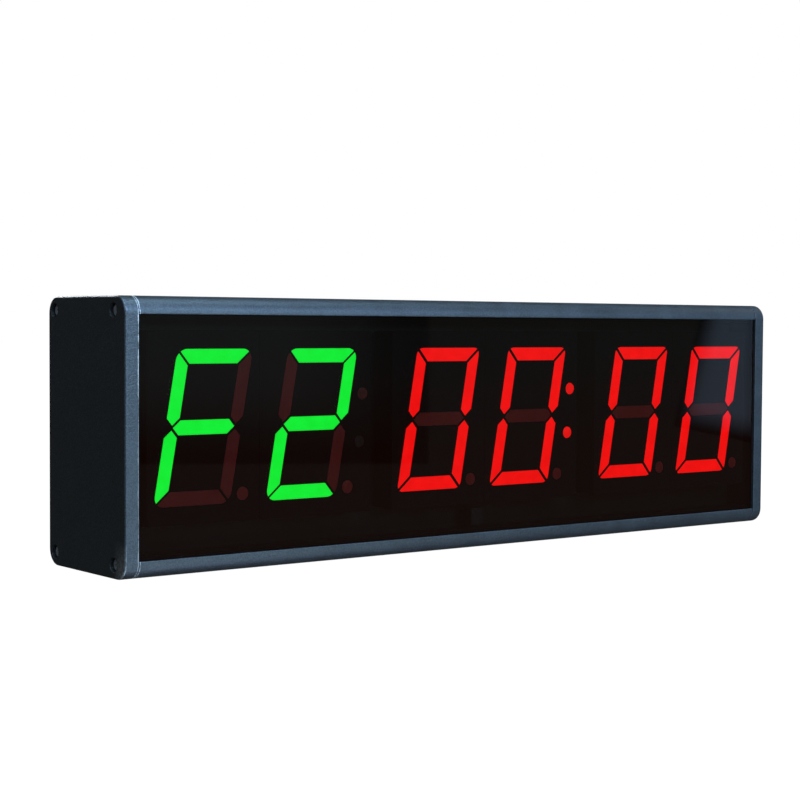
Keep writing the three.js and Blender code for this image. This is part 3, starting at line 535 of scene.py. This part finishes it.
# The left colon's two lamps are one resin coloured apart as painted light: the upper is painted paler as a
# highlight, and the lower keeps the darker colour.
COLON_LAMPS_PAINTED_LIGHT = {"upper": resin("unlit_lamp_resin_painted_highlight", (0.14, 0.014, 0.006), (0.22, 0.028, 0.012)),
               "lower": resin("dull_lamp_resin", (0.020, 0.007, 0.004), (0.035, 0.010, 0.006))}
SCREW = metal("blackened_steel", (0.55, 0.62, 0.70), (0.26, 0.29, 0.33), 0.36, (1, 1, 1), 0.3)
ZINC = metal("zinc_plate", (0.56, 0.57, 0.58), (0.40, 0.41, 0.43), 0.3, (1, 1, 12))
BOARD = circuit_board()
ROCKER = black_plastic("rocker_black", (0.014, 0.014, 0.015), 0.3, 0.5)
RED_LEAD = black_plastic("red_insulation", (0.30, 0.012, 0.010), 0.4, 0.8)
BLACK_LEAD = black_plastic("black_insulation", (0.012, 0.012, 0.012), 0.4, 0.8)

# ---------------------------------------------------------------------------------------------------
# Housing: one profile from end to end
# ---------------------------------------------------------------------------------------------------
def housing_profile():
    """The extrusion's outline: its outside from the bottom lip round to the top one, then its inside.
    Each corner is (depth, height, radius)."""
    half_mouth, half_track, half_head = TRACK_MOUTH / 2, TRACK_WIDTH / 2, TRACK_HEAD / 2
    track_half = [(BACK, half_mouth, 0.35), (TRACK_LIP_FRONT, half_mouth, 0.2),
                  (TRACK_LIP_FRONT, half_track, 0.15), (TRACK_PLATE_FRONT, half_track, 0.15),
                  (TRACK_PLATE_FRONT, half_head, 0.15), (TRACK_FLOOR, half_head, 0.4)]
    track = [(y, TRACK_Z - z, r) for y, z, r in track_half]
    track += [(y, TRACK_Z + z, r) for y, z, r in reversed(track_half)]
    port_front, port_back = FRONT + 11.2, BACK - 7.7
    board_front, board_back = BOARD_FRONT - BOARD_PLAY, BOARD_BACK + BOARD_PLAY
    rib_front, rib_back = board_front - BOARD_RIB, board_back + BOARD_RIB
    lower_inside = [
        (LIP_BACK, LIP_Z, 0.2), (LIP_BACK, SLOT_Z, 0.2), (SLOT_BACK, SLOT_Z, 0.2),
        (SLOT_BACK, RIB_Z, 0.3), (RIB_BACK - 0.7, RIB_Z, 0.2), (RIB_BACK - 0.7, PORT_Z, 0.3),
        (port_front, PORT_Z, 0.4), (port_front, WALL, 0.4),
        (rib_front, WALL, 0.3), (rib_front, BOARD_RIB_Z, 0.3), (board_front, BOARD_RIB_Z, 0.3),
        (board_front, WALL, 0.2), (board_back, WALL, 0.2),
        (board_back, BOARD_RIB_Z, 0.3), (rib_back, BOARD_RIB_Z, 0.3), (rib_back, WALL, 0.3),
        (port_back, WALL, 0.4), (port_back, PORT_Z, 0.4), (BACK - WALL, PORT_Z, 0.4)]
    inner_top = [(y, HEIGHT - z, r) for y, z, r in lower_inside]
    box_half, box_front = TRACK_BOX / 2, TRACK_FLOOR - WALL
    inner_track = [(BACK - WALL, TRACK_Z + box_half, 0.3), (box_front, TRACK_Z + box_half, 0.8),
                   (box_front, TRACK_Z - box_half, 0.8), (BACK - WALL, TRACK_Z - box_half, 0.3)]
    outside = [(FRONT, LIP_Z, 0.3), (FRONT, 0, CORNER_RADIUS), (BACK, 0, CORNER_RADIUS), *track,
               (BACK, HEIGHT, CORNER_RADIUS), (FRONT, HEIGHT, CORNER_RADIUS),
               (FRONT, HEIGHT - LIP_Z, 0.3)]
    return filleted(outside + inner_top + inner_track + list(reversed(lower_inside)), 6)


buzzer_low, buzzer_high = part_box("buzzer")
buzzer_x, buzzer_z = (buzzer_low.x + buzzer_high.x) / 2 / MM, (buzzer_low.z + buzzer_high.z) / 2 / MM
SOUND_RADIUS, SOUND_CHAMFER, SOUND_SPACING = 1.5, 0.3, 5.0
sound_places = [(buzzer_x, buzzer_z)] + arc((buzzer_x, buzzer_z), SOUND_SPACING, 0, 300, 5)
pilots = [circle(place, PILOT_RADIUS, 20) for place in SCREW_PLACES]
housing = plate([housing_profile(), *pilots], (-HOUSING_END, HOUSING_END), "x")
# The chamfer's cone runs on past the wall, so no ring of the cutter lies in the wall's own face
sound_cut = [(BACK + 0.5, 0), (BACK + 0.5, SOUND_RADIUS + SOUND_CHAMFER + 0.5),
             (BACK - SOUND_CHAMFER, SOUND_RADIUS), (BACK - 3, SOUND_RADIUS), (BACK - 3, 0)]
sound_cutters = merged([turned(sound_cut, (x, 0, z), "y", 20) for x, z in sound_places])
housing = combined(housing, [sound_cutters], "DIFFERENCE")
piece("extruded_housing", housing, PAINT, ["main_housing"])

# ---------------------------------------------------------------------------------------------------
# End caps, and the screws sunk into them
# ---------------------------------------------------------------------------------------------------
TONGUE, TONGUE_THICKNESS = 6.0, 1.8   # the caps' tongues reach this far into the housing


def end_cap(side):
    """A plate with rounded edges, counterbored for its four screws. side is -1 for the left one."""
    centre = ((FRONT + BACK) / 2, MIDDLE_Z)
    outline = rectangle(centre, BACK - FRONT, HEIGHT, CORNER_RADIUS)
    inner_part = plate([outline], sorted((side * CAP_INNER, side * (END - CAP_LAP))), "x")
    outer_part = plate([outline], sorted((side * (CAP_INNER + CAP_LAP), side * END)), "x", CAP_EDGE, 3)
    body = combined(outer_part, [inner_part], "UNION")
    seat, rim = END - COUNTERBORE_DEPTH, 0.25
    cutter = [(CAP_INNER - 1, 0), (CAP_INNER - 1, SCREW_HOLE_RADIUS), (seat, SCREW_HOLE_RADIUS),
              (seat, COUNTERBORE_RADIUS), (END - rim, COUNTERBORE_RADIUS),
              (END, COUNTERBORE_RADIUS + rim), (END + 1, COUNTERBORE_RADIUS + rim), (END + 1, 0)]
    holes = [turned([(side * along, radius) for along, radius in cutter], (0, y, z), "x", 36)
             for y, z in SCREW_PLACES]
    inner = sorted((side * (CAP_INNER - TONGUE), side * (CAP_INNER + 1)))
    tongues = [box(inner, (BOARD_BACK + 1.6, BACK - 10), (z, z + TONGUE_THICKNESS))
               for z in (WALL + 0.2, HEIGHT - WALL - 2)]
    return combined(combined(body, tongues, "UNION"), holes, "DIFFERENCE")


def right_cap():
    """The right cap also has the connection pocket, with its holes for the switch and the power inlet."""
    pocket = plate([rectangle((POCKET_Y, POCKET_Z), POCKET_WIDTH, POCKET_HEIGHT, 3)],
                   (POCKET_FLOOR, END + 2), "x", 0.4, 3)
    lead_in = plate([rectangle((POCKET_Y, POCKET_Z), POCKET_WIDTH + 0.7, POCKET_HEIGHT + 0.7, 3.3)],
                    (END - 0.3, END + 2), "x", 0.28, 3)
    start, end = CAP_INNER - 1, POCKET_FLOOR + 1
    half_width, half_height, jack_radius = 4.6, 6.8, 4.1
    switch_hole = box((start, end), (POCKET_Y - half_width, POCKET_Y + half_width),
                      (SWITCH_Z - half_height, SWITCH_Z + half_height))
    jack_profile = [(start, 0), (start, jack_radius), (end, jack_radius), (end, 0)]
    jack_hole = turned(jack_profile, (0, POCKET_Y, JACK_Z), "x", 36)
    return combined(end_cap(1), [pocket, lead_in, switch_hole, jack_hole], "DIFFERENCE")


piece("left_cap_plate", end_cap(-1), CAP_PAINT, ["left_end_cap"])
piece("right_cap_plate", right_cap(), CAP_PAINT, ["right_end_cap"])


def cap_screw():
    """A cross-recessed pan head on a threaded shank, pointing along X with its seat at 0."""
    crown, tip, pitch, root, crest = 1.8, -10.0, 0.55, 0.9, 1.15
    head = [(-0.5, 0), (-0.5, 1.1), (0, 1.1), (0, 2.2), (0.15, 2.25), (1.3, 2.25), (1.6, 2.15),
            (1.75, 1.9), (crown, 1.6), (crown, 0)]
    thread = [(tip, 0), (tip, 0.5)]
    for i in range(17):
        along = tip + 0.4 + i * pitch
        thread += [(along, root), (along + 0.4 * pitch, crest)]
    shank = turned(thread + [(0.2, 0.95), (0.2, 0)], (0, 0, 0), "x", 20)
    screw = combined(turned(head, (0, 0, 0), "x", 36), [shank], "UNION")
    depth, half_long, half_short = 1.2, 1.15, 0.28
    arms = []
    for turn in (0, 90):
        arm = box((crown - depth, crown + 1), (-half_long, half_long), (-half_short, half_short))
        for vertex in arm.vertices:
            if vertex.co.x < crown - depth / 2:      # the recess narrows towards its bottom
                vertex.co.y *= 0.35
                vertex.co.z *= 0.75
        arm.transform(Matrix.Rotation(math.radians(turn), 4, "X"))
        arms.append(arm)
    return combined(screw, arms, "DIFFERENCE")


screw_mesh = cap_screw()
for side, side_name in ((-1, "left"), (1, "right")):
    for index, (y, z) in enumerate(SCREW_PLACES):
        level, depth_side = "lower" if z < MIDDLE_Z else "upper", "front" if y < 0 else "back"
        node = f"{side_name}_cap_screw_{level}_{depth_side}"
        mesh = screw_mesh.copy()
        turn = Matrix.Rotation(math.radians(25 + 37 * index), 4, "X")    # no two stop alike
        face = Matrix.Rotation(math.pi if side < 0 else 0, 4, "Z")
        seat = Matrix.Translation((side * (END - COUNTERBORE_DEPTH + 0.2), y, z))
        mesh.transform(seat @ face @ turn)
        piece(f"{node}_head", mesh, SCREW, [node])

# ---------------------------------------------------------------------------------------------------
# Window, digits and colons
# ---------------------------------------------------------------------------------------------------
window_low, window_high = (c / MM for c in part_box("front_window"))
window_middle = ((window_low.x + window_high.x) / 2, (window_low.z + window_high.z) / 2)
window_outline = rectangle(window_middle, window_high.x - window_low.x, window_high.z - window_low.z, 0.3)
piece("tinted_window", plate([window_outline], (window_low.y, window_high.y), "y", 0.12), WINDOW,
      ["front_window"])

HALF_WIDTH, HALF_HEIGHT, BAR, TIP_GAP = 16.0, 28.2, 5.35, 0.8    # a digit's size and its bars' width
SLANT = math.tan(math.radians(10))
POINT_PLACE, POINT_RADIUS = (16.5, -24.9), 2.6
BAR_PLAY = 0.1                        # between the resin and the shell's holes


def bar_outlines(corner, gap, inset=0.0):
    """The seven bars, a to g, upright round the digit's middle, with a gap where the outer ones meet."""
    w, h, mitre = HALF_WIDTH, HALF_HEIGHT, gap / math.sqrt(2)
    turn = math.degrees(mitre / corner / math.sqrt(2))
    outer = (w - corner, h - corner)
    top = arc(outer, corner, 45 + turn, 90, 8)
    top += [(-u, v) for u, v in reversed(top)] + [(-w + BAR + mitre, h - BAR), (w - BAR - mitre, h - BAR)]
    side = arc(outer, corner, 0, 45 - turn, 8)
    side += [(w - BAR, h - BAR - mitre), (w - BAR, TIP_GAP + BAR / 2), (w - BAR / 2, TIP_GAP),
             (w, TIP_GAP + BAR / 2)]
    tip, half = w - BAR / 2 - TIP_GAP / 2, BAR / 2
    middle = [(tip, 0), (tip - half, half), (-tip + half, half), (-tip, 0), (-tip + half, -half),
              (tip - half, -half)]

    def flipped(points, across, up):
        return [(across * u, up * v) for u, v in points]

    bars = [top, side, flipped(side, 1, -1), flipped(top, 1, -1), flipped(side, -1, -1),
            flipped(side, -1, 1), middle]
    return [pulled_in(bar, inset) for bar in bars]


def pulled_in(points, inset):
    """Points drawn towards their own middle by the inset."""
    middle = sum((Vector(p) for p in points), Vector((0, 0))) / len(points)
    return [tuple(Vector(p) + (middle - Vector(p)).normalized() * inset) for p in points]


def slanted(points, centre):
    return [(centre[0] + u + SLANT * v, centre[1] + v) for u, v in points]


LIT_BARS = {1: "aefg", 2: "abdeg", 3: "abcdef", 4: "abcdef", 5: "abcdef", 6: "abcdef"}
GREEN_CORNER, RED_CORNER = 4.2, 2.8
GREEN_GAP, RED_GAP = 0.7, 1.0
MODULE_WIDTH, MODULE_HEIGHT, REAR_FILL, MODULE_WALL = 47.2, 69.7, 3.0, 1.3
COLON_AFTER = {2: "left", 4: "right"}
COLON_EXTRA, LENS_RADIUS = 3.8, 2.5
LENSES = {"upper": (23.5, 10.8), "lower": (22.2, -7.7)}
EDGE = 0.12


def digit_shell(centre, depth, holes, holds_colon):
    """The black reflector: a block with a hole for each bar, hollow behind for the resin web."""
    rear = depth[1] - REAR_FILL
    extra = COLON_EXTRA if holds_colon else 0
    outline = rectangle((centre[0] + extra / 2, centre[1]), MODULE_WIDTH + extra, MODULE_HEIGHT, 0.6)
    hollow = rectangle(centre, MODULE_WIDTH - 2 * MODULE_WALL, MODULE_HEIGHT - 2 * MODULE_WALL, 0.4)
    face = plate([outline, *holes], (depth[0], rear), "y", EDGE)
    rim = plate([outline, hollow], (rear - 0.4, depth[1]), "y", EDGE)
    return combined(face, [rim], "UNION")


for number, lit in LIT_BARS.items():
    green = number < 3
    shape = (GREEN_CORNER, GREEN_GAP) if green else (RED_CORNER, RED_GAP)
    depth = [c.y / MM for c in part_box(f"digit_{number}_reflector")]
    low, high = (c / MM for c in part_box(f"digit_{number}_segments"))
    centre = ((low.x + high.x) / 2, (low.z + high.z) / 2)
    point = (centre[0] + POINT_PLACE[0], centre[1] + POINT_PLACE[1])
    side = COLON_AFTER.get(number)
    lens_places = {}
    if side:
        lens_places = {level: (centre[0] + u, centre[1] + v) for level, (u, v) in LENSES.items()}
    holes = [slanted(bar, centre) for bar in bar_outlines(*shape)] + [circle(point, POINT_RADIUS)]
    holes += [circle(place, LENS_RADIUS) for place in lens_places.values()]
    piece(f"digit_{number}_shell", digit_shell(centre, depth, holes, bool(side)), SHELL,
          [f"digit_{number}_reflector"])

    fills = zip("abcdefg", bar_outlines(*shape, BAR_PLAY))
    span = (depth[0] + BAR_PLAY, depth[1] - REAR_FILL / 2)
    columns = {bar: plate([slanted(fill, centre)], span, "y", EDGE) for bar, fill in fills}
    dark = [column for bar, column in columns.items() if bar not in lit]
    dark.append(plate([circle(point, POINT_RADIUS - BAR_PLAY)], span, "y", EDGE))
    hollow_play = 2 * MODULE_WALL + 2 * BAR_PLAY
    web = rectangle(centre, MODULE_WIDTH - hollow_play, MODULE_HEIGHT - hollow_play, 0.4)
    dark.append(plate([web], (span[1] + 0.02, depth[1]), "y", EDGE))
    node = f"digit_{number}_segments"
    glow, slot = (GREEN, "green_resin") if green else (RED, "red_resin")
    piece(f"digit_{number}_lit_bars", merged([columns[bar] for bar in lit]), glow, [node])
    piece(f"digit_{number}_unlit_bars", merged(dark), UNLIT, [node])

    for level, place in lens_places.items():
        lens_outline = circle(place, LENS_RADIUS - BAR_PLAY)
        lens = plate([lens_outline], (span[0], depth[1] - REAR_FILL), "y", 0.3, 3)
        # the left colon's upper lamp carries a painted highlight in its colour
        finish, lens_slot = COLON_LAMPS_PAINTED_LIGHT[level], "lamp_resin"
        if side == "right":
            finish, lens_slot = RED_LAMP, "lit_lamp_resin"
        piece(f"{side}_colon_{level}_glass", lens, finish, [f"{side}_colon_{level}_lens"])

# ---------------------------------------------------------------------------------------------------
# Wall hangers
# ---------------------------------------------------------------------------------------------------
KEY_RADIUS, SLOT_HALF, KEY_DROP = 4.2, 2.2, 8.0
for side in ("left", "right"):
    node = f"{side}_wall_hanger"
    low, high = (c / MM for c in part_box(node))
    x, z = (low.x + high.x) / 2, (low.z + high.z) / 2
    entry, top = z - KEY_DROP / 2, z + KEY_DROP / 2
    open_at = math.degrees(math.asin(SLOT_HALF / KEY_RADIUS))
    keyhole = arc((x, entry), KEY_RADIUS, 90 + open_at, 450 - open_at, 40)
    keyhole += arc((x, top), SLOT_HALF, 0, 180, 16)
    plate_outline = rectangle((x, z), high.x - low.x, high.z - low.z, 0.8)
    piece(f"{node}_plate", plate([plate_outline, keyhole], (low.y, high.y), "y", 0.15), ZINC,
          [node], f"{side}_hanger")

# ---------------------------------------------------------------------------------------------------
# Power switch and inlet
# ---------------------------------------------------------------------------------------------------
BEZEL_BACK, BEZEL_FRONT = POCKET_FLOOR + 0.1, POCKET_FLOOR + 1.5
switch_at, pivot_at = (POCKET_Y, SWITCH_Z), (PIVOT_X, POCKET_Y, SWITCH_Z)
well = rectangle(switch_at, 7.2, 11.8, 0.5)
bezel = plate([rectangle(switch_at, 10.5, 15, 1.0), well], (BEZEL_BACK, BEZEL_FRONT), "x", 0.35, 3)
switch_body = plate([rectangle(switch_at, 8.8, 13.2, 0.5)], (BEZEL_BACK - 12, BEZEL_BACK + 0.5), "x")
TAB_OFFSET, TAB_HALF_WIDTH, TAB_HALF_THICKNESS = 4, 2, 0.4
tabs = [box((BEZEL_BACK - 18, BEZEL_BACK - 11), (POCKET_Y - TAB_HALF_WIDTH, POCKET_Y + TAB_HALF_WIDTH),
            (z - TAB_HALF_THICKNESS, z + TAB_HALF_THICKNESS))
        for z in (SWITCH_Z - TAB_OFFSET, SWITCH_Z + TAB_OFFSET)]
switch = combined(bezel, [switch_body, *tabs], "UNION")
rocker_room = plate([well], (PIVOT_X - 5.2, BEZEL_FRONT + 1), "x", 0.1)
axle_room = turned([(-5.4, 0), (-5.4, 1.1), (5.4, 1.1), (5.4, 0)], pivot_at, "y", 30)
switch = combined(switch, [rocker_room, axle_room], "DIFFERENCE")
piece("switch_frame", switch, SWITCH, ["rocker_switch_body"])

ROCKER_HALF, ROCKER_CREST, ROCKER_WIDTH, ROCKER_DISH = 5.2, 1.7, 6.6, 0.28


def rocker_outline():
    """The rocker's side view: two dished pads that meet at a low crest over the pivot."""
    rise, steps = ROCKER_HALF * math.tan(TILT), 6
    pads = []
    for k in range(2 * steps + 1):
        along = ROCKER_HALF * (1 - k / steps)
        share = abs(along) / ROCKER_HALF
        pads.append((ROCKER_CREST + rise * share - ROCKER_DISH * math.sin(math.pi * share), along))
    low = [(-0.8, ROCKER_HALF), (-3, 3.2)]
    outline = [(u, v, 0) for u, v in reversed(pads)] + [(u, v, 0.3) for u, v in low]
    return filleted(outline + [(u, -v, 0.3) for u, v in reversed(low)])


rocker = plate([rocker_outline()], (-ROCKER_WIDTH / 2, ROCKER_WIDTH / 2), "y", 0.25, 3)
axle = turned([(-4.2, 0), (-4.2, 0.8), (-4.0, 1.0), (4.0, 1.0), (4.2, 0.8), (4.2, 0)], (0, 0, 0), "y", 30)
rocker = combined(rocker, [axle], "UNION")
rocker.transform(Matrix.Translation(pivot_at) @ Matrix.Rotation(TILT, 4, "Y"))
piece("rocker_button", rocker, ROCKER, ["rocker"], "rocker")

jack_rear, mouth = ((c / MM).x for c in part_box("dc_jack"))
jack_axis = (0, POCKET_Y, JACK_Z)
shoulder, socket_end = CAP_INNER - 0.2, jack_rear + 1.5
barrel = [(jack_rear, 0), (jack_rear, 5.3), (jack_rear + 0.2, 5.5), (shoulder - 0.2, 5.5),
          (shoulder, 5.3), (shoulder, 3.75)]
along = shoulder + 0.2
while along < mouth - 0.5:               # the thread that the nut runs on
    barrel += [(along, 3.72), (along + 0.2, 3.9), (along + 0.3, 3.9), (along + 0.5, 3.72)]
    along += 0.6
barrel += [(mouth - 0.15, 3.75), (mouth, 3.6), (mouth, 3.15), (mouth - 0.2, 3.0),
           (socket_end, 3.0), (socket_end, 1.15), (socket_end, 0)]
piece("inlet_barrel", turned(barrel, jack_axis, "x"), BLACK, ["dc_jack"])
pin_rear, pin_tip = ((c / MM).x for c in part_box("dc_jack_pin"))
pin = [(pin_rear, 0), (pin_rear, 0.9), (pin_tip - 0.7, 1.05), (pin_tip - 0.2, 0.8), (pin_tip, 0.35),
       (pin_tip, 0)]
piece("inlet_pin", turned(pin, jack_axis, "x", 24), ZINC, ["dc_jack_pin"])
nut_span = tuple((c / MM).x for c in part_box("dc_jack_nut"))
nut_outlines = [circle(jack_axis[1:], 6, 6), circle(jack_axis[1:], 4.05, 40)]
piece("inlet_nut", plate(nut_outlines, nut_span, "x", 0.25), ZINC, ["dc_jack_nut"])

# ---------------------------------------------------------------------------------------------------
# The board and what stands on it, with the CAD's own shapes
# ---------------------------------------------------------------------------------------------------
INSIDE = {
    "display_board": (BOARD, "circuit_board", 0.1),
    "microcontroller": (BLACK, "component_black", 0.08),
    "upper_driver_chip": (BLACK, "component_black", 0.1),
    "lower_driver_chip": (BLACK, "component_black", 0.1),
    "clock_crystal": (ZINC, "zinc_steel", 0.2),
    "smoothing_capacitor": (BLACK, "component_black", 0.4),
    "voltage_regulator": (BLACK, "component_black", 0.15),
    "power_connector": (CREAM, "connector_plastic", 0.2),
    "buzzer": (BLACK, "component_black", 0.4),
    "coin_cell_holder": (BLACK, "component_black", 0.3),
    "coin_cell": (ZINC, "zinc_steel", 0.3),
    "ir_receiver": (BLACK, "component_black", 0.1),
    "jack_to_switch_lead": (RED_LEAD, "red_lead", 0),
    "switch_to_board_lead": (RED_LEAD, "red_lead", 0),
    "jack_to_board_lead": (BLACK_LEAD, "black_lead", 0),
}
for node, (finish, slot, edge) in INSIDE.items():
    refined(node, finish, edge)

# ---------------------------------------------------------------------------------------------------
# Camera
# ---------------------------------------------------------------------------------------------------
CAMERA_AT = Vector((-0.4653, -0.5722, 0.0902))
YAW, PITCH, ROLL = (math.radians(a) for a in (37.689, -2.434, -0.343))
LENS, SENSOR = 79.45, 36
forward = Vector((math.sin(YAW) * math.cos(PITCH), math.cos(YAW) * math.cos(PITCH), math.sin(PITCH)))
level = Vector((math.cos(YAW), -math.sin(YAW), 0))
down = forward.cross(level)
right = level * math.cos(ROLL) + down * math.sin(ROLL)
up = -(down * math.cos(ROLL) - level * math.sin(ROLL))
camera_data = bpy.data.cameras.new("camera")
camera_data.lens, camera_data.sensor_width = LENS, SENSOR
camera_data.clip_start = 0.01
camera = bpy.data.objects.new("camera", camera_data)
bpy.context.scene.collection.objects.link(camera)
camera.matrix_world = Matrix.Translation(CAMERA_AT) @ Matrix((right, up, -forward)).transposed().to_4x4()
bpy.context.scene.camera = camera

# ---------------------------------------------------------------------------------------------------
# Floor, background and lights
# ---------------------------------------------------------------------------------------------------
def pale_floor():
    """A pale floor, bright enough of its own that only a faint contact shadow shows on it."""
    material = bpy.data.materials.new("pale_floor")
    material.use_nodes = True
    tree = material.node_tree
    tree.nodes.clear()
    paper = tree.nodes.new("ShaderNodeTexNoise")
    paper.inputs["Scale"].default_value = 40
    tone = tree.nodes.new("ShaderNodeMapRange")
    darkest, palest = 0.058, 0.062
    tone.inputs["To Min"].default_value, tone.inputs["To Max"].default_value = darkest, palest
    diffuse = tree.nodes.new("ShaderNodeBsdfDiffuse")
    glow = tree.nodes.new("ShaderNodeEmission")
    glow.inputs["Strength"].default_value = 1.0
    total = tree.nodes.new("ShaderNodeAddShader")
    output = tree.nodes.new("ShaderNodeOutputMaterial")
    tree.links.new(paper.outputs["Fac"], tone.inputs["Value"])
    tree.links.new(tone.outputs["Result"], diffuse.inputs["Color"])
    tree.links.new(diffuse.outputs[0], total.inputs[0])
    tree.links.new(glow.outputs[0], total.inputs[1])
    tree.links.new(total.outputs[0], output.inputs["Surface"])
    return material


def flat_sheet(name, half_width, half_height, material):
    """A flat four-cornered object round its own origin, facing its own +Z. Lengths are in metres."""
    corners = [(u * half_width, v * half_height, 0) for u, v in ((-1, -1), (1, -1), (1, 1), (-1, 1))]
    mesh = bpy.data.meshes.new(name)
    mesh.from_pydata(corners, [], [(0, 1, 2, 3)])
    mesh.materials.append(material)
    sheet = bpy.data.objects.new(name, mesh)
    bpy.context.scene.collection.objects.link(sheet)
    return sheet


FLOOR_REACH, FLOOR_GAP = 6.0, 0.0003     # metres; the gap keeps the floor out of the timer's own face
floor = flat_sheet("floor", FLOOR_REACH, FLOOR_REACH, pale_floor())
floor.location.z = -FLOOR_GAP
floor.visible_diffuse = floor.visible_glossy = floor.visible_shadow = False
floor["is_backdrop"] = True

AMBIENT, AMBIENT_STRENGTH = (0.95, 0.93, 0.83, 1), 0.050
world = bpy.data.worlds.new("studio")
bpy.context.scene.world = world
world.use_nodes = True
tree = world.node_tree
seen = tree.nodes["Background"]
seen.inputs["Color"].default_value, seen.inputs["Strength"].default_value = (1, 1, 1, 1), 1.0
ambient = tree.nodes.new("ShaderNodeBackground")
ambient.inputs["Color"].default_value = AMBIENT
ambient.inputs["Strength"].default_value = AMBIENT_STRENGTH
# The camera sees a white backdrop, and the timer is lit and reflected by the dim ambient alone
rays, either = tree.nodes.new("ShaderNodeLightPath"), tree.nodes.new("ShaderNodeMixShader")
tree.links.new(rays.outputs["Is Camera Ray"], either.inputs["Fac"])
tree.links.new(ambient.outputs[0], either.inputs[1])
tree.links.new(seen.outputs[0], either.inputs[2])
tree.links.new(either.outputs[0], tree.nodes["World Output"].inputs["Surface"])


def soft_light(name, azimuth, elevation, distance, size, power, colour=(1, 1, 1)):
    """An area light that faces the timer, with its distance and size in metres. Azimuth 0 is in front of
    the window and 90 off its right end."""
    data = bpy.data.lights.new(name, "AREA")
    data.shape, data.size, data.size_y = "RECTANGLE", *size
    data.energy, data.color = power, colour
    light = bpy.data.objects.new(name, data)
    bpy.context.scene.collection.objects.link(light)
    a, e = math.radians(azimuth), math.radians(elevation)
    away = Vector((math.sin(a) * math.cos(e), -math.cos(a) * math.cos(e), math.sin(e)))
    light.location = Vector((0, 0, MIDDLE_Z * MM)) + away * distance
    light.rotation_mode = "QUATERNION"
    light.rotation_quaternion = away.to_track_quat("Z", "Y")


def reflected_card(name, aim_x, across, heights, lean, colour, fade):
    """A soft-edged glowing card that only reflections show. It stands square to the ray that the
    camera's view of the window at aim_x is reflected along. across is how far it reaches to each side of
    that ray, heights is its bottom and top, lean is in degrees and fade is the width of its soft edges."""
    material = bpy.data.materials.new(name)
    material.use_nodes = True
    tree = material.node_tree
    tree.nodes.clear()
    split = tree.nodes.new("ShaderNodeSeparateXYZ")
    tree.links.new(tree.nodes.new("ShaderNodeTexCoord").outputs["Object"], split.inputs[0])
    strengths = []
    half = ((across[1] - across[0]) / 2, (heights[1] - heights[0]) / 2)
    for axis, reach, soft in zip("XY", half, fade):
        from_middle = tree.nodes.new("ShaderNodeMath")
        from_middle.operation = "ABSOLUTE"
        tree.links.new(split.outputs[axis], from_middle.inputs[0])
        edge = tree.nodes.new("ShaderNodeMapRange")
        edge.interpolation_type = "SMOOTHSTEP"
        edge.inputs["From Min"].default_value, edge.inputs["From Max"].default_value = reach - soft, reach
        edge.inputs["To Min"].default_value, edge.inputs["To Max"].default_value = 1, 0
        tree.links.new(from_middle.outputs[0], edge.inputs["Value"])
        strengths.append(edge.outputs["Result"])
    product = tree.nodes.new("ShaderNodeMath")
    product.operation = "MULTIPLY"
    tree.links.new(strengths[0], product.inputs[0])
    tree.links.new(strengths[1], product.inputs[1])
    glow = tree.nodes.new("ShaderNodeEmission")
    glow.inputs["Color"].default_value = (*colour, 1)
    tree.links.new(product.outputs[0], glow.inputs["Strength"])
    output = tree.nodes.new("ShaderNodeOutputMaterial")
    tree.links.new(glow.outputs[0], output.inputs["Surface"])

    card = flat_sheet(name, *half, material)
    aim = Vector((aim_x, FRONT * MM, 0))
    sight = (aim - CAMERA_AT).to_2d().normalized()
    away = Vector((sight.x, -sight.y, 0))
    side = Vector((-away.y, away.x, 0))
    centre = aim + away * CARD_DISTANCE + side * sum(across) / 2 + Vector((0, 0, sum(heights) / 2))
    upward = Vector((0, 0, 1)) + side * math.tan(math.radians(lean))
    card.matrix_world = Matrix.Translation(centre) @ Matrix((side, upward, -away)).transposed().to_4x4()
    card.visible_camera = card.visible_diffuse = card.visible_shadow = card.visible_transmission = False
    card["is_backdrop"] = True


soft_light("front", 0, 35, 1.5, (0.5, 0.3), 10.5, (0.42, 0.62, 0.94))
soft_light("front_right", 15, 19, 1.5, (0.5, 0.4), 11.5, (0.56, 0.80, 1))
soft_light("overhead", 0, 78, 1.4, (1.2, 0.7), 16.8, (0.61, 0.86, 1))
soft_light("under_right", 15, -25, 1.2, (0.5, 0.4), 2.2, (0.80, 0.98, 0.96))
soft_light("under", 0, -55, 1.0, (0.8, 0.4), 3.4, (0.68, 0.82, 1))
soft_light("back", 180, 25, 1.6, (0.4, 0.6), 12)
soft_light("left_front", -48, 34, 1.5, (0.4, 0.4), 3.0, (0.80, 0.92, 1))
soft_light("right_side", 92, 22, 1.5, (0.5, 0.5), 1.6)
CARD_DISTANCE = 0.5
reflected_card("window_light", 0.14, (-0.007, 0.20), (0.004, 0.26), 24, (0.30, 0.42, 0.60), (0.018, 0.02))
reflected_card("pale_wall", -0.13, (-0.20, 0.14), (0.0, 0.30), 0, (0.09, 0.10, 0.10), (0.10, 0.06))

scene = bpy.context.scene
scene.view_settings.view_transform = "Standard"
scene.view_settings.look = "None"

low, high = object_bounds()
